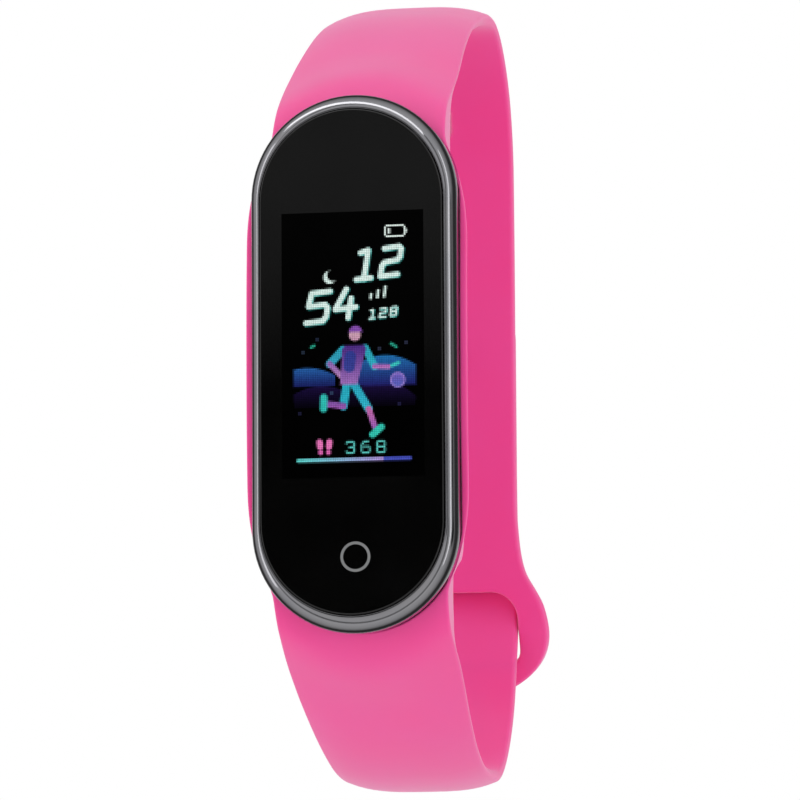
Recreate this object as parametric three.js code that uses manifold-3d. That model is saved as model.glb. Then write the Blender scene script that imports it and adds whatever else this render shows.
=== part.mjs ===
// Fitness tracker band: a pill-shaped tracker pod in a soft one-piece strap that closes
// with a slotted head and a push-through stud.
// Millimetres. X is the strap's width, -Y faces the viewer of the display, +Z runs up the
// pod's long side. The origin is the wrist's axis, 27 mm behind the cover glass.
import * as THREE from "three";
import Module from "manifold-3d";

// ---- driving dimensions ------------------------------------------------------------
const wristToGlass = 27; // wrist axis to the front plane of the glass
const strapThickness = 2.0;
const strapHalfWidth = 7.7; // where the strap leaves the cradle
const podLength = 47.0; // widest outline of the bezel ring
const podWidth = 18.2;
const bezelSide = 1.05; // visible rim beside the glass
const bezelEnd = 1.5; // visible rim at the glass's ends
const glassThickness = 1.2;
const lipWidth = 0.7; // the cradle's lip beside the pod
const wall = 1.0; // rear case wall
const seatClearance = 0.2; // pod to pocket, all round
const batteryThickness = 3.0;
const batteryLength = 21;
const holeWidth = 3.4;
const holeLength = 4.4;
const holePitch = 7.7;
const holeCount = 6;
const studHeight = 5.1; // height of the stud above the pod's centre
const studClearance = 0.2; // stud head to the hole's sides
const slotTop = -16.2;
const slotClearance = 0.6; // tail to the slot's ends
const tailHalfWidth = 7.2;
const tailTop = 12.2;
const strapGap = 0.35; // between the two straps where they lie on each other
const motorRadius = 3.5;
const screwRadius = 0.5;

// ---- sizes that follow ---------------------------------------------------------------
const half = strapThickness / 2;
const pw = podWidth / 2;
const pl = podLength / 2;
const gw = pw - bezelSide;
const gl = pl - bezelEnd;
// The pod's stack, as depths behind the glass.
const batteryFront = 5.3;
const batteryRear = batteryFront + batteryThickness;
const tubFloor = batteryRear + 0.2; // where the rear case steps in to its boss
const sensorFront = batteryRear + 0.45;
const podRear = sensorFront + 2.65; // the pod's flat rear face
const cradleFloor = podRear - 0.7; // the cradle's wrist-side face
const bossHalfWidth = pw - 2.9;
const bossHalfLength = pl - 3.6;
// The strap's rear: its middle surfaces, as depths.
const rearMiddle = 43.6;
const tailMiddle = rearMiddle + strapThickness + strapGap;
const barMiddle = 44.0 + strapThickness + 0.5;
// The strap crosses the slot aslant, so a thicker one needs a taller slot.
const slotBottom = slotTop - 3.4 * strapThickness;
const slotHalfWidth = tailHalfWidth + slotClearance;
const studHeadRadius = holeWidth / 2 - studClearance;

// ---- solids ------------------------------------------------------------------------
const kernel = await Module();
kernel.setup();
const { Manifold, Mesh } = kernel;

function solid(positions, triangles) {
  const flat = new Float32Array(positions.flat());
  return new Manifold(
    new Mesh({ numProp: 3, vertProperties: flat, triVerts: new Uint32Array(triangles.flat()) }),
  );
}

// Joins rings of points that each go round the same way; every ring has as many points.
function loft(rings, closed = false) {
  const n = rings[0].length;
  const positions = rings.flat();
  const triangles = [];
  const last = closed ? rings.length : rings.length - 1;
  for (let i = 0; i < last; i++) {
    const a = i * n;
    const b = ((i + 1) % rings.length) * n;
    for (let j = 0; j < n; j++) {
      const k = (j + 1) % n;
      triangles.push([a + j, b + k, a + k], [a + j, b + j, b + k]);
    }
  }
  if (!closed) {
    const end = (rings.length - 1) * n;
    for (let j = 1; j < n - 1; j++) {
      triangles.push([0, j, j + 1], [end, end + j + 1, end + j]);
    }
  }
  let made = solid(positions, triangles);
  if (made.volume() < 0) {
    made = solid(positions, triangles.map(([p, q, r]) => [p, r, q]));
  }
  return made;
}

// Depth behind the glass to a Y coordinate.
const y = (depth) => depth - wristToGlass;

// A pill outline in the XZ plane at one depth, going round once.
function pill(halfWidth, halfLength, depth, centre = [0, 0], steps = 10) {
  const straight = Math.max(halfLength - halfWidth, 0);
  const points = [];
  for (const side of [1, -1]) {
    for (let i = 0; i <= steps; i++) {
      const t = (Math.PI * i) / steps;
      points.push([
        centre[0] + side * halfWidth * Math.cos(t),
        y(depth),
        centre[1] + side * (straight + halfWidth * Math.sin(t)),
      ]);
    }
  }
  return points;
}

const pills = (levels, centre, steps) =>
  loft(levels.map(([w, l, d]) => pill(w, l, d, centre, steps)));
const pillRing = (levels) => loft(levels.map(([w, l, d]) => pill(w, l, d)), true);

// A round disc or shaft whose axis runs through the depth.
function turned(levels, centre, steps = 20) {
  return loft(
    levels.map(([r, d]) =>
      Array.from({ length: steps }, (_, i) => {
        const t = (2 * Math.PI * i) / steps;
        return [centre[0] + r * Math.cos(t), y(d), centre[1] + r * Math.sin(t)];
      }),
    ),
  );
}

// A box from depth d0 to d1, centred on [x, z], with its corners rounded by r.
function block(width, length, d0, d1, centre, r = 0) {
  const ring = (d) => {
    if (!r) {
      return [[1, 1], [-1, 1], [-1, -1], [1, -1]].map(([a, b]) => [
        centre[0] + (a * width) / 2,
        y(d),
        centre[1] + (b * length) / 2,
      ]);
    }
    const points = [];
    [[1, 1], [-1, 1], [-1, -1], [1, -1]].forEach(([a, b], k) => {
      for (let i = 0; i <= 3; i++) {
        const t = (Math.PI / 2) * (k + i / 3);
        points.push([
          centre[0] + a * (width / 2 - r) + r * Math.cos(t),
          y(d),
          centre[1] + b * (length / 2 - r) + r * Math.sin(t),
        ]);
      }
    });
    return points;
  };
  return loft([ring(d0), ring(d1)]);
}

// ---- the strap's path, seen from the side --------------------------------------------
// Stations of the strap's middle surface: depth, height, heading in degrees from +Z
// towards the back. It runs from the tail's tip, through the slot and up past the cradle,
// over the top, down the back and ends in the slotted head.
const stations = [
  [tailMiddle, tailTop, -180],
  [tailMiddle, -5, -180],
  [tailMiddle + 0.35, -13.2, -180],
  [tailMiddle - 0.2, -16.9, -163],
  [44.0, -22.7, -163],
  [42.8, -26.6, -159],
  [34.2, -pl - 10.4, -92],
  [25.4, -pl - 8.7, -73],
  [7.8, -pl + 1.0, -40],
  [4.8, -pl + 5.5, -14],
  [3.3, 0, 0],
  [4.8, pl - 5.5, 14],
  [7.8, pl - 0.8, 40],
  [25.4, pl + 9.3, 73],
  [34.8, pl + 11.1, 93],
  [rearMiddle, pl - 0.5, 179],
  [rearMiddle, -10, 180],
  [rearMiddle + 0.1, -15.5, 178],
  [barMiddle, -23.4, 160],
  [barMiddle + 0.8, -27.0, 172],
];
const path = [];
for (let i = 0; i < stations.length - 1; i++) {
  const [a0, b0, h0] = stations[i];
  const [a1, b1, h1] = stations[i + 1];
  const chord = Math.hypot(a1 - a0, b1 - b0);
  const dir = (h) => [Math.sin((h * Math.PI) / 180) * chord, Math.cos((h * Math.PI) / 180) * chord];
  const [m0, m1] = [dir(h0), dir(h1)];
  for (let j = 0; j < 40; j++) {
    const t = j / 40;
    const f = [2 * t ** 3 - 3 * t * t + 1, t ** 3 - 2 * t * t + t, 3 * t * t - 2 * t ** 3, t ** 3 - t * t];
    path.push([
      f[0] * a0 + f[1] * m0[0] + f[2] * a1 + f[3] * m1[0],
      f[0] * b0 + f[1] * m0[1] + f[2] * b1 + f[3] * m1[1],
    ]);
  }
}
path.push(stations.at(-1).slice(0, 2));
const travel = [0];
for (let i = 1; i < path.length; i++) {
  travel.push(travel[i - 1] + Math.hypot(path[i][0] - path[i - 1][0], path[i][1] - path[i - 1][1]));
}
const middle = travel[stations.findIndex(([, z]) => z === 0) * 40]; // the station at the pod's centre
for (let i = 0; i < travel.length; i++) travel[i] -= middle;

// Depth, height and outward normal at arc length s from the pod's centre.
function at(s) {
  let i = travel.findIndex((v) => v >= s);
  i = Math.min(Math.max(i, 1), path.length - 1);
  const u = (s - travel[i - 1]) / (travel[i] - travel[i - 1]);
  const p = [0, 1].map((k) => path[i - 1][k] + u * (path[i][k] - path[i - 1][k]));
  const j0 = Math.max(i - 2, 0);
  const j1 = Math.min(i + 1, path.length - 1);
  const d = [path[j1][0] - path[j0][0], path[j1][1] - path[j0][1]];
  const l = Math.hypot(...d);
  return { p, n: [-d[1] / l, d[0] / l] };
}
// Arc length where the path's given stretch passes a height.
function heightAt(z, from, to) {
  for (let i = 1; i < path.length; i++) {
    if (travel[i] < from || travel[i] > to) continue;
    if ((path[i - 1][1] - z) * (path[i][1] - z) <= 0) return travel[i];
  }
  throw new Error("no such height on the strap");
}
const between = (table, s) => {
  if (s <= table[0][0]) return table[0].slice(1);
  for (let i = 1; i < table.length; i++) {
    if (s > table[i][0]) continue;
    const u = (s - table[i - 1][0]) / (table[i][0] - table[i - 1][0]);
    return table[i].slice(1).map((v, k) => table[i - 1][k + 1] + u * (v - table[i - 1][k + 1]));
  }
  return table.at(-1).slice(1);
};

const pathEnd = travel.at(-1);
const pathStart = travel[0];
const headFrom = heightAt(-10.5, 70, pathEnd);
// Half-widths at the outer and the wrist-side face, and the depth of the wrist-side face
// below the middle surface, by arc length from the pod's centre.
const floorDepth = cradleFloor - 3.3;
const lip = (k) => strapHalfWidth + k * (pw + lipWidth - strapHalfWidth); // 1 at the lip, 0 at the strap
const front = [
  [0, lip(1), lip(0.24), floorDepth],
  [pl - 13.5, lip(1), lip(0.24), floorDepth],
  [pl - 10, lip(0.91), lip(0.19), floorDepth - 0.1],
  [pl - 7.7, lip(0.72), lip(0.12), floorDepth - 0.5],
  [pl - 6, lip(0.43), lip(0.05), floorDepth - 1.2],
  [pl - 4.8, lip(0.12), lip(0), floorDepth - 1.9],
  [pl - 3.5, lip(0.02), strapHalfWidth - 0.05, floorDepth - 2.8],
  [pl, strapHalfWidth - 0.05, strapHalfWidth - 0.15, half + 2.1],
  [pl + 3.5, strapHalfWidth - 0.15, strapHalfWidth - 0.2, half + 0.75],
  [pl + 7.5, strapHalfWidth - 0.3, strapHalfWidth - 0.3, half + 0.1],
  [pl + 11.5, strapHalfWidth - 0.5, strapHalfWidth - 0.5, half],
  [pl + 19.5, strapHalfWidth - 0.7, strapHalfWidth - 0.7, half],
  [pl + 29.5, strapHalfWidth - 0.8, strapHalfWidth - 0.8, half],
  [pl + 42.5, strapHalfWidth - 0.6, strapHalfWidth - 0.6, half],
];
const head = [
  [headFrom, 7.3, 7.3, half],
  [headFrom + 4.4, 8.2, 8.2, half],
  [headFrom + 5.8, 9.1, 9.1, half],
  [headFrom + 7.0, 9.7, 9.7, half],
  [headFrom + 8.7, 10.0, 10.0, half],
  [headFrom + 9.8, 10.1, 10.1, half],
  [headFrom + 11.6, 9.9, 9.9, half],
  [headFrom + 13.1, 9.4, 9.4, half],
  [headFrom + 14.2, 8.6, 8.6, half],
  [headFrom + 15.2, 7.4, 7.4, half],
  [pathEnd - 0.4, 6.0, 6.0, half],
  [pathEnd, 4.6, 4.6, half],
];
const upper = [...front, ...head];
const lower = [
  [pathStart, tailHalfWidth - 2.6, tailHalfWidth - 2.6, half],
  [pathStart + 0.8, tailHalfWidth - 1.3, tailHalfWidth - 1.3, half],
  [pathStart + 2.2, tailHalfWidth - 0.3, tailHalfWidth - 0.3, half],
  [pathStart + 4.5, tailHalfWidth, tailHalfWidth, half],
  [-pl - 42.5, tailHalfWidth, tailHalfWidth, half],
  ...front.slice(1, -1).map(([s, ...rest]) => [-s, ...rest]).reverse(),
  front[0],
];

// One stretch of strap between two arc lengths.
function stretch(s0, s1, step = 2.6) {
  const cuts = new Set([s0, s1]);
  for (const [s] of [...upper, ...lower]) if (s > s0 + 0.2 && s < s1 - 0.2) cuts.add(s);
  const sorted = [...cuts].sort((a, b) => a - b);
  const all = [];
  sorted.forEach((s, i) => {
    all.push(s);
    const gap = (sorted[i + 1] ?? s) - s;
    const parts = Math.ceil(gap / step);
    for (let k = 1; k < parts; k++) all.push(s + (gap * k) / parts);
  });
  return loft(
    all.map((s) => {
      const { p, n } = at(s);
      const [wo, wi, depth] = between(s < 0 ? lower : upper, s);
      const r = 0.55;
      const c = r * 0.3;
      const section = [
        [wo - r, half], [wo - c, half - c], [wo, half - r],
        [wi, -depth + r], [wi - c, -depth + c], [wi - r, -depth],
      ];
      const ring = [...section, ...section.map(([a, b]) => [-a, b]).reverse()];
      return ring.map(([a, b]) => [a, y(p[0] + n[0] * b), p[1] + n[1] * b]);
    }),
  );
}

const seam = pl + 4; // arc length where the cradle ends and the straps go on
const seamGap = 0.3;
const tailFrom = heightAt(-13.4, pathStart, -60);
const studShaft = studHeadRadius - 0.4;

// The pod's outside, grown by a clearance, for the pocket.
const podLevels = (c) => [
  [pw + c, pl + c, -3],
  [pw + c, pl + c, 3.3 + c],
  [pw - 0.35 + c, pl - 0.3 + c, 3.3 + c],
  [pw - 1.6 + c, pl - 0.9 + c, tubFloor + c],
];
const bossClearance = seatClearance + 0.1;
const pocket = pills(podLevels(seatClearance)).add(
  pills([
    [bossHalfWidth + bossClearance, bossHalfLength + bossClearance, tubFloor - 0.5],
    [bossHalfWidth + bossClearance, bossHalfLength + bossClearance, podRear + 3],
  ]),
);
const cradle = stretch(-seam, seam, 2.2).subtract(pocket);

// Hole-side strap with its row of holes and its slotted head.
const studAt = heightAt(studHeight, 75, pathEnd);
function acrossAt(s, width, length) {
  const { p, n } = at(s);
  const ring = (b) =>
    Array.from({ length: 16 }, (_, i) => {
      const t = (2 * Math.PI * i) / 16;
      const straight = (length - width) / 2;
      const u = (width / 2) * Math.sin(t) + (i < 8 ? straight : -straight);
      return [(width / 2) * Math.cos(t), y(p[0] + n[0] * b + n[1] * u), p[1] + n[1] * b - n[0] * u];
    });
  return loft([ring(-3), ring(3)]);
}
let holeSide = stretch(seam + seamGap, pathEnd);
const holesPastStud = 2; // towards the head
for (let i = 0; i < holeCount; i++) {
  const s = studAt + (holesPastStud - i) * holePitch;
  holeSide = holeSide.subtract(acrossAt(s, holeWidth, holeLength));
}
const slotMiddle = (slotTop + slotBottom) / 2;
holeSide = holeSide.subtract(
  block(2 * slotHalfWidth, slotTop - slotBottom, 40, 52, [0, slotMiddle], 1.6),
);

const studSide = stretch(tailFrom + seamGap, -seam - seamGap);
const tail = stretch(pathStart, tailFrom).subtract(
  turned([[studShaft + 0.1, rearMiddle], [studShaft + 0.1, tailMiddle + 4]], [0, studHeight]),
);

// ---- closing stud ----------------------------------------------------------------------
const tailOuter = tailMiddle + half;
const studCap = turned(
  [[3.1, tailOuter + 0.05], [3.3, tailOuter + 0.35], [3.0, tailOuter + 0.9], [2.2, tailOuter + 1.1]],
  [0, studHeight], 28,
);
const strapInner = rearMiddle - half;
const studPin = turned(
  [
    [studShaft, tailOuter],
    [studShaft, strapInner + 0.4],
    [studHeadRadius, strapInner - 0.2],
    [studHeadRadius - 0.1, strapInner - 0.6],
    [studHeadRadius - 0.6, strapInner - 0.8],
  ],
  [0, studHeight],
);

// ---- tracker pod -----------------------------------------------------------------------
const bezel = pillRing([
  [gw + 0.1, gl + 0.1, 0.35],
  [gw + 0.35, gl + 0.45, 0.3],
  [pw - 0.35, pl - 0.45, 0.75],
  [pw - 0.05, pl - 0.06, 1.4],
  [pw, pl, 1.9],
  [pw - 0.05, pl - 0.05, 2.6],
  [pw - 0.3, pl - 0.25, 3.1],
  [gw - 1.0, gl - 1.0, 3.1],
  [gw - 1.0, gl - 1.0, glassThickness + 0.35],
  [gw + 0.1, gl + 0.1, glassThickness + 0.35],
]);
const glass = pills([
  [gw - 0.45, gl - 0.45, 0],
  [gw - 0.1, gl - 0.1, 0.16],
  [gw, gl, 0.45],
  [gw, gl, glassThickness],
]);
const gasket = pillRing([
  [gw - 0.1, gl - 0.1, glassThickness + 0.05],
  [gw - 0.1, gl - 0.1, glassThickness + 0.3],
  [gw - 0.9, gl - 0.9, glassThickness + 0.3],
  [gw - 0.9, gl - 0.9, glassThickness + 0.05],
]);
const panelWidth = 2 * (gw - 1.45);
const panelLength = 25.2;
const panel = block(panelWidth, panelLength, glassThickness + 0.05, glassThickness + 0.9, [0, 1.5], 0.6);
const backlight = block(
  panelWidth - 0.2, panelLength - 0.2, glassThickness + 0.95, glassThickness + 1.4, [0, 1.5], 0.6,
);
const keyPad = turned([[2.4, glassThickness + 0.05], [2.4, glassThickness + 0.4]], [0, 5 - gl]);
const postRadius = 1.3;
const screwHeight = gl - 2.1;
const screwAt = [[0, screwHeight], [0, -screwHeight]];
let frame = pills([[gw - 1.15, gl - 1.15, 2.75], [gw - 1.15, gl - 1.15, 3.35]]).subtract(
  block(6.4, 3.2, 2, 4, [0, -13.4], 0.4),
);
frame = frame.subtract(block(9, 12, 2, 4, [0, 5], 1.5));
for (const c of screwAt) frame = frame.subtract(turned([[0.65, 2], [0.65, 4]], c));

// A thin ribbon from the display's lower edge, through the frame, to the board.
const ribbonPath = new THREE.Shape([
  [2.63, -9.5], [2.63, -12.6], [3.35, -12.9], [3.35, -15.0], [3.48, -15.0], [3.48, -12.7],
  [2.72, -12.4], [2.72, -9.5],
].map(([d, z]) => new THREE.Vector2(y(d), z)));
const ribbonGeometry = new THREE.ExtrudeGeometry(ribbonPath, { depth: 5, bevelEnabled: false });
ribbonGeometry.applyMatrix4(
  new THREE.Matrix4().set(0, 0, 1, -2.5, 1, 0, 0, 0, 0, 1, 0, 0, 0, 0, 0, 1),
);
function fromGeometry(geometry) {
  const g = geometry.index ? geometry.toNonIndexed() : geometry;
  const p = g.attributes.position;
  const keys = new Map();
  const positions = [];
  const order = [];
  for (let i = 0; i < p.count; i++) {
    const v = [p.getX(i), p.getY(i), p.getZ(i)];
    const key = v.map((c) => c.toFixed(4)).join();
    if (!keys.has(key)) {
      keys.set(key, positions.length);
      positions.push(v);
    }
    order.push(keys.get(key));
  }
  const triangles = [];
  for (let i = 0; i < order.length; i += 3) triangles.push(order.slice(i, i + 3));
  const made = solid(positions, triangles);
  return made.volume() < 0 ? solid(positions, triangles.map(([a, b, c]) => [a, c, b])) : made;
}
const ribbon = fromGeometry(ribbonGeometry);

const boardHalfLength = screwHeight - postRadius - 0.1;
const board = block(2 * (pw - 2.2), 2 * boardHalfLength, 3.55, 4.25, [0, 0], pw / 2);

// The battery lies behind the board's upper part, and the chips stand between them.
const batteryWidth = 2 * (pw - 1.6 - wall - 0.7);
const batteryZ = boardHalfLength - 1.8 - batteryLength / 2;
const chip = (w, l, x, z, h = 0.75) => block(w, l, 4.3, 4.3 + h, [x, batteryZ + z]);
const processor = chip(5, 5, 0, 3.3);
const memory = chip(4, 3, 0, -2.6);
const sideChip = pw - 4.9;
const motionSensor = chip(2.5, 3, sideChip, -6.7);
const charger = chip(2, 2, -sideChip, -6.7);
const antenna = chip(3.2, 1.6, 0, 10);
const radioZ = batteryZ - 11.4;
const radio = block(4.5, 3.5, 4.3, 4.85, [0, radioZ]);
const shield = block(6.5, 5.5, 4.3, 5.15, [0, radioZ]).subtract(
  block(6.1, 5.1, 4.0, 4.95, [0, radioZ]),
);

const battery = block(batteryWidth, batteryLength, batteryFront, batteryRear, [0, batteryZ], 1.2);
const tabsZ = batteryZ - batteryLength / 2 - 1.0;
const batteryTabs = block(batteryWidth - 2.6, 1.4, batteryFront + 0.4, batteryFront + 1.2, [0, tabsZ]);
const foam = block(2 * (bossHalfWidth - wall - 0.4), 14, batteryRear + 0.05, batteryRear + 0.3, [0, 3], 1);

const motorZ = tabsZ - 1.8 - motorRadius - 3;
const motorFront = 4.75;
const motorDisc = (r, d0, d1, steps = 28) =>
  turned([[r, motorFront + d0], [r, motorFront + d1]], [0, motorZ], steps);
const motorCup = motorDisc(motorRadius, 0.3, 2.9)
  .subtract(motorDisc(motorRadius - 0.3, 0, 2.6))
  .add(motorDisc(0.4, 0.5, 2.7, 12)); // the shaft
const motorLid = motorDisc(motorRadius, 0, 0.25);
// The rotor is a half disc that hangs down, with a hub round the shaft.
const rotorRadius = motorRadius - 0.55;
const rotorRing = Array.from({ length: 17 }, (_, i) => {
  const t = (Math.PI * i) / 16;
  return [rotorRadius * Math.cos(t), -rotorRadius * Math.sin(t)];
});
const rotorOutline = [...rotorRing, [-1.2, 0.9], [0, 1.3], [1.2, 0.9]];
const rotor = loft(
  [motorFront + 0.8, motorFront + 2.2].map((d) => rotorOutline.map(([a, b]) => [a, y(d), motorZ + b])),
).subtract(motorDisc(0.46, 0, 4, 12));

const sensorZ = 0;
const sensorRear = sensorFront + 0.55;
const ledPitch = 7;
const sensorBoard = block(2 * (bossHalfWidth - wall - 0.5), 17, sensorFront, sensorRear, [0, sensorZ], 1.5);
const onSensor = (size, h, z) =>
  block(size, size, sensorRear + 0.05, sensorRear + 0.05 + h, [0, sensorZ + z]);
const ledOne = onSensor(1.6, 0.6, ledPitch / 2);
const ledTwo = onSensor(1.6, 0.6, -ledPitch / 2);
const photodiode = onSensor(2.8, 0.6, 0);
const lightWall = onSensor(4.6, 1.0, 0).subtract(
  block(3.6, 3.6, sensorRear, sensorRear + 2, [0, sensorZ], 0.4),
);
const windowRadius = bossHalfWidth - 1.3;
const window = turned(
  [
    [windowRadius, podRear - wall + 0.05],
    [windowRadius, podRear + 0.1],
    [windowRadius - 0.7, podRear + 0.5],
    [windowRadius - 2.2, podRear + 0.6],
  ],
  [0, sensorZ], 36,
);
const contactX = bossHalfWidth - 3.9;
const contactRadius = 0.46 * contactX;
const contactZ = 4.7 - bossHalfLength;
const contactAt = [[-contactX, contactZ], [contactX, contactZ]];
const contacts = contactAt.map((c) =>
  turned(
    [
      [1.43 * contactRadius, podRear - wall - 0.75],
      [1.43 * contactRadius, podRear - wall - 0.1],
      [contactRadius, podRear - wall - 0.1],
      [contactRadius, podRear + 0.05],
    ],
    c,
  ),
);
const seal = pillRing([
  [pw - 0.65, pl - 0.55, 3.15],
  [pw - 0.65, pl - 0.55, 3.4],
  [pw - 1.15, pl - 1.1, 3.4],
  [pw - 1.15, pl - 1.1, 3.15],
]);

// Rear case: a tapered tub with a raised boss that meets the skin.
const caseTop = 3.45;
let rearCase = pills([
  [pw - 0.35, pl - 0.3, caseTop],
  [pw - 1.6, pl - 0.9, tubFloor - 0.2],
  [pw - 1.85, pl - 1.3, tubFloor],
]).add(
  pills([
    [bossHalfWidth, bossHalfLength, tubFloor - 0.2],
    [bossHalfWidth, bossHalfLength, podRear - 0.5],
    [bossHalfWidth - 0.5, bossHalfLength - 0.5, podRear],
  ]),
);
rearCase = rearCase.subtract(
  pills([
    [pw - 0.35 - wall, pl - 0.3 - wall, caseTop - 1],
    [pw - 0.35 - wall, pl - 0.3 - wall, caseTop],
    [pw - 1.6 - wall, pl - 0.9 - wall, tubFloor - 0.9],
  ]).add(
    pills([
      [bossHalfWidth - wall, bossHalfLength - wall, tubFloor - 1.1],
      [bossHalfWidth - wall, bossHalfLength - wall, podRear - wall],
    ]),
  ),
);
// The battery and the motor sit lower than the tub's floor, over the boss.
rearCase = rearCase.subtract(
  block(batteryWidth + 0.5, batteryLength + 0.6, 6, batteryRear + 0.1, [0, batteryZ], 1.2),
);
const fit = 0.07; // pins and window in their holes
for (const c of screwAt) {
  rearCase = rearCase.add(turned([[postRadius, 3.6], [postRadius, tubFloor - 0.5]], c, 16));
  rearCase = rearCase.subtract(turned([[screwRadius + fit, 3], [screwRadius + fit, 7.0]], c, 12));
}
const through = (r, c, steps) => turned([[r + fit, podRear - 1.9], [r + fit, podRear + 2]], c, steps);
for (const c of contactAt) rearCase = rearCase.subtract(through(contactRadius, c, 20));
rearCase = rearCase.subtract(through(windowRadius, [0, sensorZ], 36));
const screws = screwAt.map((c) =>
  turned([[2 * screwRadius, 2.3], [2 * screwRadius, 2.7], [screwRadius, 2.7], [screwRadius, 6.8]], c, 12),
);

// ---- meshes ------------------------------------------------------------------------------
const finish = {
  silicone: new THREE.MeshStandardMaterial({ color: 0xe8458f, roughness: 0.55 }),
  gunmetal: new THREE.MeshStandardMaterial({ color: 0x55565a, metalness: 1, roughness: 0.15 }),
  steel: new THREE.MeshStandardMaterial({ color: 0xb9bcc0, metalness: 1, roughness: 0.3 }),
  glass: new THREE.MeshStandardMaterial({ color: 0x0a0a0b, roughness: 0.08 }),
  black: new THREE.MeshStandardMaterial({ color: 0x1b1c1e, roughness: 0.5 }),
  rubber: new THREE.MeshStandardMaterial({ color: 0x2c2d30, roughness: 0.8 }),
  board: new THREE.MeshStandardMaterial({ color: 0x1d5a3a, roughness: 0.5 }),
  foil: new THREE.MeshStandardMaterial({ color: 0xa8abb0, metalness: 0.8, roughness: 0.4 }),
  amber: new THREE.MeshStandardMaterial({ color: 0xb8792a, roughness: 0.5 }),
  gold: new THREE.MeshStandardMaterial({ color: 0xd9b25c, metalness: 1, roughness: 0.25 }),
  green: new THREE.MeshStandardMaterial({ color: 0x6fce7a, roughness: 0.3 }),
  screen: new THREE.MeshStandardMaterial({ color: 0x10141a, roughness: 0.2 }),
};
const pieces = [
  ["strap_cradle", cradle, "silicone"],
  ["strap_hole_side", holeSide, "silicone"],
  ["strap_stud_side", studSide, "silicone"],
  ["strap_tail", tail, "silicone"],
  ["stud_cap", studCap, "steel"],
  ["stud_pin", studPin, "steel"],
  ["bezel_ring", bezel, "gunmetal"],
  ["cover_glass", glass, "glass"],
  ["glass_gasket", gasket, "rubber"],
  ["display_panel", panel, "screen"],
  ["display_backlight", backlight, "foil"],
  ["display_ribbon", ribbon, "amber"],
  ["touch_key_pad", keyPad, "amber"],
  ["inner_frame", frame, "black"],
  ["main_board", board, "board"],
  ["processor_chip", processor, "black"],
  ["memory_chip", memory, "black"],
  ["motion_sensor_chip", motionSensor, "black"],
  ["charger_chip", charger, "black"],
  ["antenna_chip", antenna, "foil"],
  ["radio_chip", radio, "black"],
  ["radio_shield", shield, "foil"],
  ["battery_cell", battery, "foil"],
  ["battery_tab_board", batteryTabs, "board"],
  ["battery_foam", foam, "rubber"],
  ["motor_case", motorCup, "steel"],
  ["motor_lid", motorLid, "steel"],
  ["motor_rotor", rotor, "steel"],
  ["sensor_board", sensorBoard, "board"],
  ["green_led_1", ledOne, "green"],
  ["green_led_2", ledTwo, "green"],
  ["photodiode", photodiode, "black"],
  ["light_wall", lightWall, "rubber"],
  ["sensor_window", window, "glass"],
  ["charge_contact_1", contacts[0], "gold"],
  ["charge_contact_2", contacts[1], "gold"],
  ["seal_ring", seal, "rubber"],
  ["rear_case", rearCase, "black"],
  ["frame_screw_1", screws[0], "steel"],
  ["frame_screw_2", screws[1], "steel"],
];
const group = new THREE.Group();
group.name = "fitness_tracker_band";
for (const [name, body, look] of pieces) {
  const m = body.getMesh();
  const positions = new Float32Array(m.numVert * 3);
  for (let i = 0; i < m.numVert; i++) {
    positions.set(m.vertProperties.subarray(i * m.numProp, i * m.numProp + 3), i * 3);
  }
  const geometry = new THREE.BufferGeometry();
  geometry.setAttribute("position", new THREE.BufferAttribute(positions, 3));
  geometry.setIndex(new THREE.BufferAttribute(m.triVerts, 1));
  geometry.computeVertexNormals();
  const mesh = new THREE.Mesh(geometry, finish[look]);
  mesh.name = name;
  group.add(mesh);
}
export default group;
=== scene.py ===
# %% [markdown]
# # A fitness tracker band
#
# A pill-shaped tracker pod sits in a soft silicone strap, worn as a closed loop. The strap's
# free end passes through a slot in the other end and is held by a push-through stud.
# Every length below is in millimetres, and only the last step turns it into metres.

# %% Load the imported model
import math

import bmesh
import bpy
import numpy as np
from mathutils import Matrix, Vector
from mathutils.geometry import delaunay_2d_cdt


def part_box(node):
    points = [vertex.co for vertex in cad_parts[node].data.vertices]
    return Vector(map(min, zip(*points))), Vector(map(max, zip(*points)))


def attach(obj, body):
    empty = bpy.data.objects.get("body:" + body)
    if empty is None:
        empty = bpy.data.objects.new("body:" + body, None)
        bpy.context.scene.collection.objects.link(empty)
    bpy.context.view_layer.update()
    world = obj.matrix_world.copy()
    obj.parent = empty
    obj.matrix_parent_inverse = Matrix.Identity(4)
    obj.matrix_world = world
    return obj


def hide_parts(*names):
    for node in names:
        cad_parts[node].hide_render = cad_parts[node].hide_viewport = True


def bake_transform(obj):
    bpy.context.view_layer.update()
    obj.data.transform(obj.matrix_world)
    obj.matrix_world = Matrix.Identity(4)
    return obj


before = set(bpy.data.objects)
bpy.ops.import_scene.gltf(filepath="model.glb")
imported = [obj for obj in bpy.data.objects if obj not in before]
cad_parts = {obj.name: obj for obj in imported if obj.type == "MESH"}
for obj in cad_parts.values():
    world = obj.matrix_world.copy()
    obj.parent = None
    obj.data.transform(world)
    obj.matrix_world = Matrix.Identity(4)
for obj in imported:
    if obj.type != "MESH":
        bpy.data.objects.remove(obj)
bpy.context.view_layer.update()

# %% [markdown]
# ## Where things are
#
# X runs across the strap, -Y out of the display and +Z up the pod's long side. On the
# object, places behind the glass are easier to say as a depth, so one value turns a depth
# into Y. The sizes that the looks share with the solids are read from the solids' boxes.

# %% Driving sizes
MM = 0.001


def node_box(name):
    """The lowest and highest corner of a solid, in millimetres."""
    low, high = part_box(name)
    return np.array(low) / MM, np.array(high) / MM


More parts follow.
